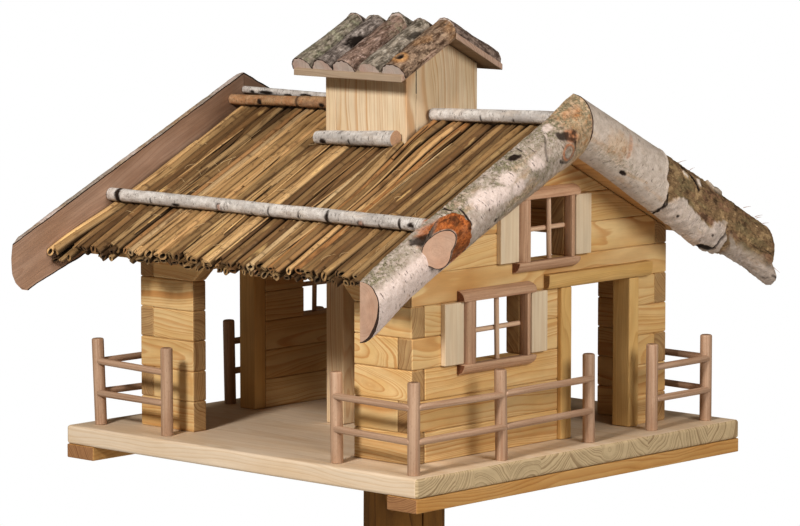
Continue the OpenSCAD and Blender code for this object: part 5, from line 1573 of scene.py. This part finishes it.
RM = [M["birch"], M["birch_white"], M["rod_brown"], M["cutface"], M["rim"], M["peeled"]]
G = Geo(*RM)
rod(G, (TX1 + 4, -20, 298.5), (RXR - 0.5, -7, 303), 12.6, 849, 1, 3, [(0.6, 200, 0.9, 130, "d"), (60, 205, 0.9, 36, "d"), (97, 215, 1.4, 22, "d")])
rod(G, on_slope(TX1 + 1, 1, 22, 12), on_slope(RXR - 0.5, 1, 22, 12), 12.0, 851, 1, 3, [(22, 120, 3, 40, "d"), (60, 150, 2, 50, "d"), (131, 100, 1.5, 60, "d")])
rod(G, (-212.5, 0, 306.8), (TX0 - 1, 0, 305.8), 7.2, 859, 1, 3, [(14, 205, 3, 30, "d"), (33, 200, 9, 34, "d"), (62, 215, 6, 28, "d"), (86, 190, 9, 30, "d"), (112, 220, 5, 34, "d"), (133, 200, 6, 26, "d"), (150, 200, 2.2, 90, "d")])
rod(G, (-212.5, -17, 298.2), (TX0 - 1, -11.6, 302.1), 10.4, 869, 2, 3, [(40, 200, 3, 40, "d"), (120, 210, 4, 30, "d")], joint=88)
rod(G, on_slope(-212.5, 1, 18, 10), on_slope(TX0 - 1, 1, 18, 10), 10.0, 871, 2, 3, [(40, 160, 3, 60, "d"), (92, 130, 2, 90, "d")])
G.build("ridge_rods_birch", "ridge_rods", sharp=55)
G = Geo(*RM)
rod(G, on_slope(-212.5, -1, 180, 13), on_slope(RXR - 0.5, -1, 180, 13), 13.0, 879, 1, 3,
    [(14, 180, 3.2, 170, "d"), (60, 200, 1.2, 30, "d"), (93, 215, 5, 20, "d"), (150, 200, 2.5, 40, "bump"), (192, 240, 1.4, 40, "d"), (214, 200, 1.3, 60, "d"), (252, 190, 1.0, 50, "d"), (288, 200, 2.4, 90, "d"), (330, 215, 3, 30, "bump"), (352, 230, 1.2, 40, "d"), (377, 195, 1.4, 90, "d"), (392, 185, 4.0, 26, "d")], raw=(403, 0.85))
rod(G, on_slope(-212.5, 1, 180, 13), on_slope(RXR - 0.5, 1, 180, 13), 13.0, 881, 0, 3,
    [(30, 0, 4, 60, "d"), (93, 20, 5, 34, "d"), (150, 340, 2.5, 50, "bump"), (214, 0, 1.5, 70, "d"), (288, 10, 2.6, 120, "d"), (377, 0, 1.4, 90, "d")], raw=(404, 0.75))
G.build("slope_rods_birch", "slope_rods", sharp=55)
G = Geo(*RM)
rod(G, (-50.5, -66, 273.8), (45.5, -61, 277.6), 14.6, 891, 1, 5, [(11, 215, 3.8, 30, "d"), (44, 205, 0.8, 26, "d"), (71, 230, 0.9, 18, "d")], rings=0.4, taper=0.12)
rod(G, on_slope(-53, 1, TY1 + 8.2, 15), on_slope(60, 1, TY1 + 8.2, 15), 15.0, 892, 0, 3, [(30, 20, 4, 55, "d"), (80, 350, 3, 30, "d")])
G.build("turret_foot_logs", "turret_base_logs", sharp=55)

# ---- turret
tat = lambda y: TZ0 - TSL * abs(y - TRY)
TCA, TSA = 1 / math.sqrt(1 + TSL * TSL), TSL / math.sqrt(1 + TSL * TSL)
G = Geo(*mats("turret", "turret_end"))
e = 0.25
board(G, [(TY0, 262), (TY0 + TT, 262), (TY0 + TT, tat(TY0 + TT) - e), (TY0, tat(TY0) - e)], "x", TX0 + TT + 0.25, TX1, "z", 921, bev=0.9, pith=(46, 22), tilt=(0.05, 0.02))
board(G, [(TY1 - TT, 262), (TY1, 262), (TY1, tat(TY1) - e), (TY1 - TT, tat(TY1 - TT) - e)], "x", TX0, TX1 - TT - 0.25, "z", 922, bev=0.9, pith=(-40, 30), tilt=(0.03, 0.02))
G.build("turret_front_back_boards", "turret_front_back_walls")
G = Geo(*mats("turret", "turret_end", "rim"))
# the joint between the front board and the side board stands open near its top: a thin dark strip there is painted
# shade standing in for the gap
prism(G, [(50.3, -38.9), (50.62, -38.9), (50.62, -38.2), (50.3, -38.2)], "z", 318.5, 340.5, "z", 933, e0=0.1, e1=0.1, mi=2, end_mi=2)
board(G, [(TY0, 262), (TY1 - TT - 0.25, 262), (TY1 - TT - 0.25, tat(TY1 - TT) - e), (TRY, TZ0 - e), (TY0, tat(TY0) - e)], "x", TX0, TX0 + TT, "z", 923, bev=0.9, pith=(30, 42), tilt=(0.04, 0.02))
board(G, [(TY0 + TT + 0.45, 262), (TY1, 262), (TY1, tat(TY1) - e), (TRY, TZ0 - e), (TY0 + TT + 0.45, tat(TY0 + TT) - e)], "x", TX1 - TT, TX1, "z", 924, bev=0.9, pith=(34, 50), tilt=(0.05, 0.03))
G.build("turret_side_boards", "turret_side_walls")
G = Geo(*mats("troof", "troof_end"))
for sgn, rc in ((-1, TRF), (1, TRB)):
    y1 = TRY + sgn * rc
    board(G, [(TRY + 0.03 * sgn, TZ0), (y1, tat(y1)), (y1, tat(y1) + TRT), (TRY + 0.03 * sgn, TZ0 + TRT)], "x", -69.4, 69.0 if sgn < 0 else TRX, "x", 930 + sgn, bev=0.8, pith=(70, 40))
G.build("turret_roof_boards_piece", "turret_roof_boards")

TONES = {-1: (0.0, 0.25, 0.5, 0.75, 1.0), 1: (0.3, 0.8, 0.05, 0.6, 0.4)}
XCS = (-61.0, -34.2, -6.0, 24.6, 54.6)
HWS = {-1: (13.4, 13.9, 15.3, 14.2, 15.4), 1: (13.6, 14.2, 15.2, 14.0, 15.2)}
HTS = {-1: (13.2, 12.8, 14.0, 12.0, 12.8), 1: (15.0, 13.6, 17.2, 13.0, 14.6)}
for sgn, nm in ((-1, "front"), (1, "back")):
    G = Geo(M["branch"], M["troof"], M["branch_cut"], M["rim"])
    for i in range(5):
        hw, ht = HWS[sgn][i], HTS[sgn][i]
        sd = 940 + 10 * i + (5 if sgn > 0 else 0)
        r = rnd(sd)
        reach = (TRF if sgn < 0 else TRB) + 2.6 - r.uniform(0, 1.6)
        na, ns = 44, 96
        # the bark arc runs from the right foot over the top to the left foot; the fifth front log hangs past the board's end
        a0 = -0.20 if (sgn < 0 and i == 4) else -0.02
        th = np.linspace(a0, PI + 0.02, na)
        t = np.linspace(0, 1, ns)
        T, PH = np.meshgrid(t, th, indexing="ij")
        LL = T * reach / TCA
        fi = fbm(p3(np.cos(PH) * 5 + sd, np.sin(PH) * 5, LL / 22), 4, sd)
        lump = fbm(p3(np.cos(PH) * 1.5 + sd, np.sin(PH) * 1.5, LL / 26), 3, sd + 1)
        k_ = 0.965 + 0.055 * lump + 0.035 * vnoise(p3(LL / 34, 0 * LL + sd, 0 * LL), sd + 2)
        m1, m2, m3 = 0 * T, 0 * T, 0 * T
        arc = (PH - PI / 2) * hw
        pit = np.clip(np.abs(fbm(p3(np.cos(PH) * 9 + sd, np.sin(PH) * 9, LL / 9), 3, sd + 3)) - 0.08, 0, 1)
        rough_ = 0.6 * fi - 0.6 * pit
        m1 = 0.4 * smooth(0.10, 0.30, pit)
        if sgn < 0:
            if i == 1:
                bl = blob(LL, arc, 40, -11, 13, 8, 0.5, seed=3, ragged=0.5)
                m1, rough_ = np.maximum(m1, bl), rough_ - 1.6 * bl
            if i == 2:
                bl = blob(LL, arc, 30, 15, 9, 5, 0.2, seed=5, ragged=0.5)
                m1 = np.maximum(m1, 0.9 * bl)
                m3 = smooth(34, 10, LL) * 0.8
            if i == 3:
                m1 = np.maximum(m1, 0.8 * blob(LL, arc, 22, -12, 9, 4, 0.2, seed=6, ragged=0.6))
            if i == 4:
                e_ = np.hypot((LL - 72) / 6.8, (arc + 3) / 6.2) + 0.10 * fi
                rough_ = rough_ + 2.0 * (1 - smooth(0.8, 1.7, e_)) - 2.2 * (1 - smooth(0.35, 0.75, e_))
                m2 = np.exp(-((e_ - 0.95) / 0.35) ** 2)
                m1 = np.maximum(m1 * smooth(1.0, 1.6, e_), 1 - smooth(0.45, 0.68, e_))
                m2 = np.maximum(m2, 0.4 * smooth(20, 6, LL + 3 * fi) * smooth(-0.2, 0.3, fi + 0.2))
                m2 = np.maximum(m2, 0.35 * blob(LL, arc, 38, -4, 12, 6, 0.4, seed=7, ragged=0.6))
            if i == 0:
                m3 = 0.75 + 0 * T
        elif i == 4:
            e_ = np.hypot((LL - 38) / 7.0, (arc - 8) / 5.0)
            rough_ = rough_ + 1.2 * (1 - smooth(0.7, 1.7, e_))
            m1 = np.maximum(m1, 0.8 * np.exp(-((e_ - 0.8) / 0.3) ** 2))
        foot = smooth(0.0, 0.35, np.sin(PH))
        wob = 1.1 * vnoise(p3(LL / 40, 0 * LL + sd * 1.3, 0 * LL), sd + 4) * smooth(0, 12, LL)
        cosp = np.cos(PH)
        ax = (hw * k_ + rough_ * 0.8) * cosp
        nn = (ht * k_ + rough_ * foot) * np.sin(PH) + 0.06
        s0 = -nn * TSA / TCA
        s1 = (reach - 5.2) / TCA + 0.25 * rough_
        s = s0 + (s1 - s0) * T
        xx = XCS[i] + ax + wob
        lo_, hi_ = XCS[i] - hw - 0.6, XCS[i] + hw + 0.6
        xx = np.clip(xx, lo_, hi_)
        v = p3(xx, TRY + sgn * (s * TCA + nn * TSA), TZ0 + TRT - 2.1 - s * TSA + nn * TCA)
        off = r.uniform(0, 600)
        gco = p3(ax + 60 * i, nn, s + off)
        nf = 4
        kk = np.linspace(0, 1, nf + 2)[1:-1]
        und = v[:, -1:] * (1 - kk)[None, :, None] + v[:, :1] * kk[None, :, None]
        gun = gco[:, -1:] * (1 - kk)[None, :, None] + gco[:, :1] * kk[None, :, None]
        loop = np.concatenate([v, und], 1)
        gl = np.concatenate([gco, gun], 1)
        pad = lambda m: np.concatenate([m, np.zeros((ns, nf))], 1).reshape(-1)
        nl = na + nf
        f = grid_faces(ns, nl, closed_v=True, flip=(sgn > 0))
        mi = np.zeros((ns - 1, nl), int)
        mi[:, na - 1:] = 1
        G.add(loop.reshape(-1, 3), f, mi.reshape(-1), True, gco=gl.reshape(-1, 3), tint=0.0, tone=TONES[sgn][i], m1=pad(np.clip(m1, 0, 1)), m2=pad(np.clip(m2, 0, 1)), m3=pad(np.clip(m3, 0, 1)))
        for e_, idx in ((0, 0), (1, ns - 1)):
            V = v[idx]
            cen = (V[0] + V[-1]) / 2
            cen = cen + (V[na // 2] - cen) * 0.35
            wd_ = 1.0 + 0.35 * np.sin(np.arange(na) * 0.9 + sd)
            dl = np.linalg.norm(V - cen, axis=1)
            u1 = np.clip(wd_ / dl, 0, 0.5)
            U = np.concatenate([np.zeros((1, na)), u1[None], u1[None] + (0.97 - u1[None]) * np.linspace(0, 1, 6)[1:, None]])
            VV = V[None] + (cen - V)[None] * U[..., None]
            zmin = np.minimum(V[0, 2], V[-1, 2])
            g2 = p3(VV[..., 0] - XCS[i] + 3, VV[..., 2] - cen[2] - 2, 0 * VV[..., 0] + off)
            fl = (e_ == 0) != (sgn > 0)
            ff = grid_faces(7, na, flip=not fl)
            mm = np.full((6, na - 1), 2)
            mm[0] = 3 if (i != 3 and e_ == 1) else 0
            G.add(VV.reshape(-1, 3), ff, mm.reshape(-1), False, gco=g2.reshape(-1, 3), tint=0.0, tone=TONES[sgn][i])
            last = list(range(na))
            G.add(VV[-1], [last if not fl else last[::-1]], 2, False, gco=g2[-1], tint=0.0, tone=TONES[sgn][i])
            tri = np.array([V[0], V[-1], VV[-1, -1], VV[-1, 0]])
            gt = np.stack([tri[:, 0] - XCS[i] + 3, tri[:, 2] - cen[2] - 2, 0 * tri[:, 0] + off], -1)
            col_ = [0, 1, 2, 3] if not fl else [3, 2, 1, 0]
            G.add(tri, [col_[::-1]], 2, False, gco=gt, tint=0.0, tone=TONES[sgn][i])
    G.build("turret_branches_" + nm, "turret_roof_logs_" + nm, sharp=60)

# ---- feed silo under the turret
G = Geo(*mats("turret", "turret_end"))
p = 22.0
top = 262 - 0.1
for i, x in enumerate((TX0, TX1 - p)):
    for j, y in enumerate((TY0, TY1 - p)):
        board(G, rect(x, x + p, y, y + p), "z", 0.05, top, "z", 960 + 2 * i + j, bev=1.2, tilt=(0.003, 0.003))
board(G, rect(TX0 + p + 0.1, TX1 - p - 0.1, TY0 + p - 7, TY0 + p - 1), "z", 14, top, "z", 966, bev=0.6)
board(G, rect(TX0 + p + 0.1, TX1 - p - 0.1, TY1 - p + 1, TY1 - p + 7), "z", 14, top, "z", 967, bev=0.6)
board(G, rect(TX0 + p - 7, TX0 + p - 1, TY0 + p + 0.1, TY1 - p - 0.1), "z", 14, top, "z", 968, bev=0.6)
board(G, rect(TX1 - p + 1, TX1 - p + 7, TY0 + p + 0.1, TY1 - p - 0.1), "z", 14, top, "z", 969, bev=0.6)
G.build("feed_silo_boards", "feed_silo")

# ================================================================== floor, light, camera
me = bpy.data.meshes.new("studio_floor")
n = 96
vs = [(0, 0, -0.0002)] + [(60 * math.cos(2 * PI * i / n), 60 * math.sin(2 * PI * i / n), -0.0002) for i in range(n)]
me.from_pydata(vs, [], [(0, i + 1, (i + 1) % n + 1) for i in range(n)])
fl = bpy.data.objects.new("studio_floor", me)
bpy.context.scene.collection.objects.link(fl)
N = Nodes("studio_floor")
fpos = N.pos()
fine_n = N.noise(N.v("SCALE", fpos, scale=3.0), 1.0, 2.0, 0.5)
fcol = N.ramp(fine_n, [(0.3, (0.90, 0.90, 0.90, 1)), (0.7, (0.94, 0.94, 0.94, 1))])
fmat = N.out(fcol, 0.9, None, 0.1)
far = N.v("LENGTH", fpos)
N.put(N.nt.nodes["Principled BSDF"].inputs["Alpha"], N.rng(far, 2.2, 5.0, 1.0, 0.0))
me.materials.append(fmat)

sc = bpy.context.scene
wd = bpy.data.worlds.new("studio_world")
sc.world = wd
wd.use_nodes = True
nt = wd.node_tree
nt.nodes.clear()
bg1, bg2 = nt.nodes.new("ShaderNodeBackground"), nt.nodes.new("ShaderNodeBackground")
bg1.inputs[0].default_value, bg1.inputs[1].default_value = (1.0, 0.86, 0.66, 1), 0.14
bg2.inputs[0].default_value, bg2.inputs[1].default_value = (1, 1, 1, 1), 1.0
lp, mx, wo = nt.nodes.new("ShaderNodeLightPath"), nt.nodes.new("ShaderNodeMixShader"), nt.nodes.new("ShaderNodeOutputWorld")
nt.links.new(lp.outputs["Is Camera Ray"], mx.inputs[0])
nt.links.new(bg1.outputs[0], mx.inputs[1])
nt.links.new(bg2.outputs[0], mx.inputs[2])
nt.links.new(mx.outputs[0], wo.inputs[0])

AIM = Vector((0.0, 0.0, FZ / 1000 + 0.12))


def area(name, direction, dist, size, power, col):
    ld = bpy.data.lights.new(name, "AREA")
    ld.shape = "DISK"
    ld.size = size
    ld.energy = power
    ld.color = col
    o = bpy.data.objects.new(name, ld)
    d = Vector(direction).normalized()
    o.location = AIM + d * dist
    o.rotation_euler = (-d).to_track_quat("-Z", "Y").to_euler()
    sc.collection.objects.link(o)
    return o


area("key_light", (0.20, -0.845, 0.50), 3.0, 0.5, 79.0, (1.0, 0.985, 0.96))
area("side_light", (0.92, -0.12, 0.38), 3.0, 1.4, 52.0, (1.0, 0.985, 0.96))

cd = bpy.data.cameras.new("camera")
cam = bpy.data.objects.new("camera", cd)
sc.collection.objects.link(cam)
cam.location = (2.629898, -2.862411, 1.799169)
cam.rotation_euler = (math.radians(90 - 6.843), 0, math.radians(42.635))
cd.lens = 185.73
cd.sensor_width = 36.0
cd.sensor_fit = "HORIZONTAL"
cd.clip_start, cd.clip_end = 0.1, 200
sc.camera = cam
sc.view_settings.view_transform = "Standard"
sc.view_settings.look = "None"
sc.view_settings.exposure = 0.0
sc.view_settings.gamma = 0.85
sc.cycles.use_denoising = True
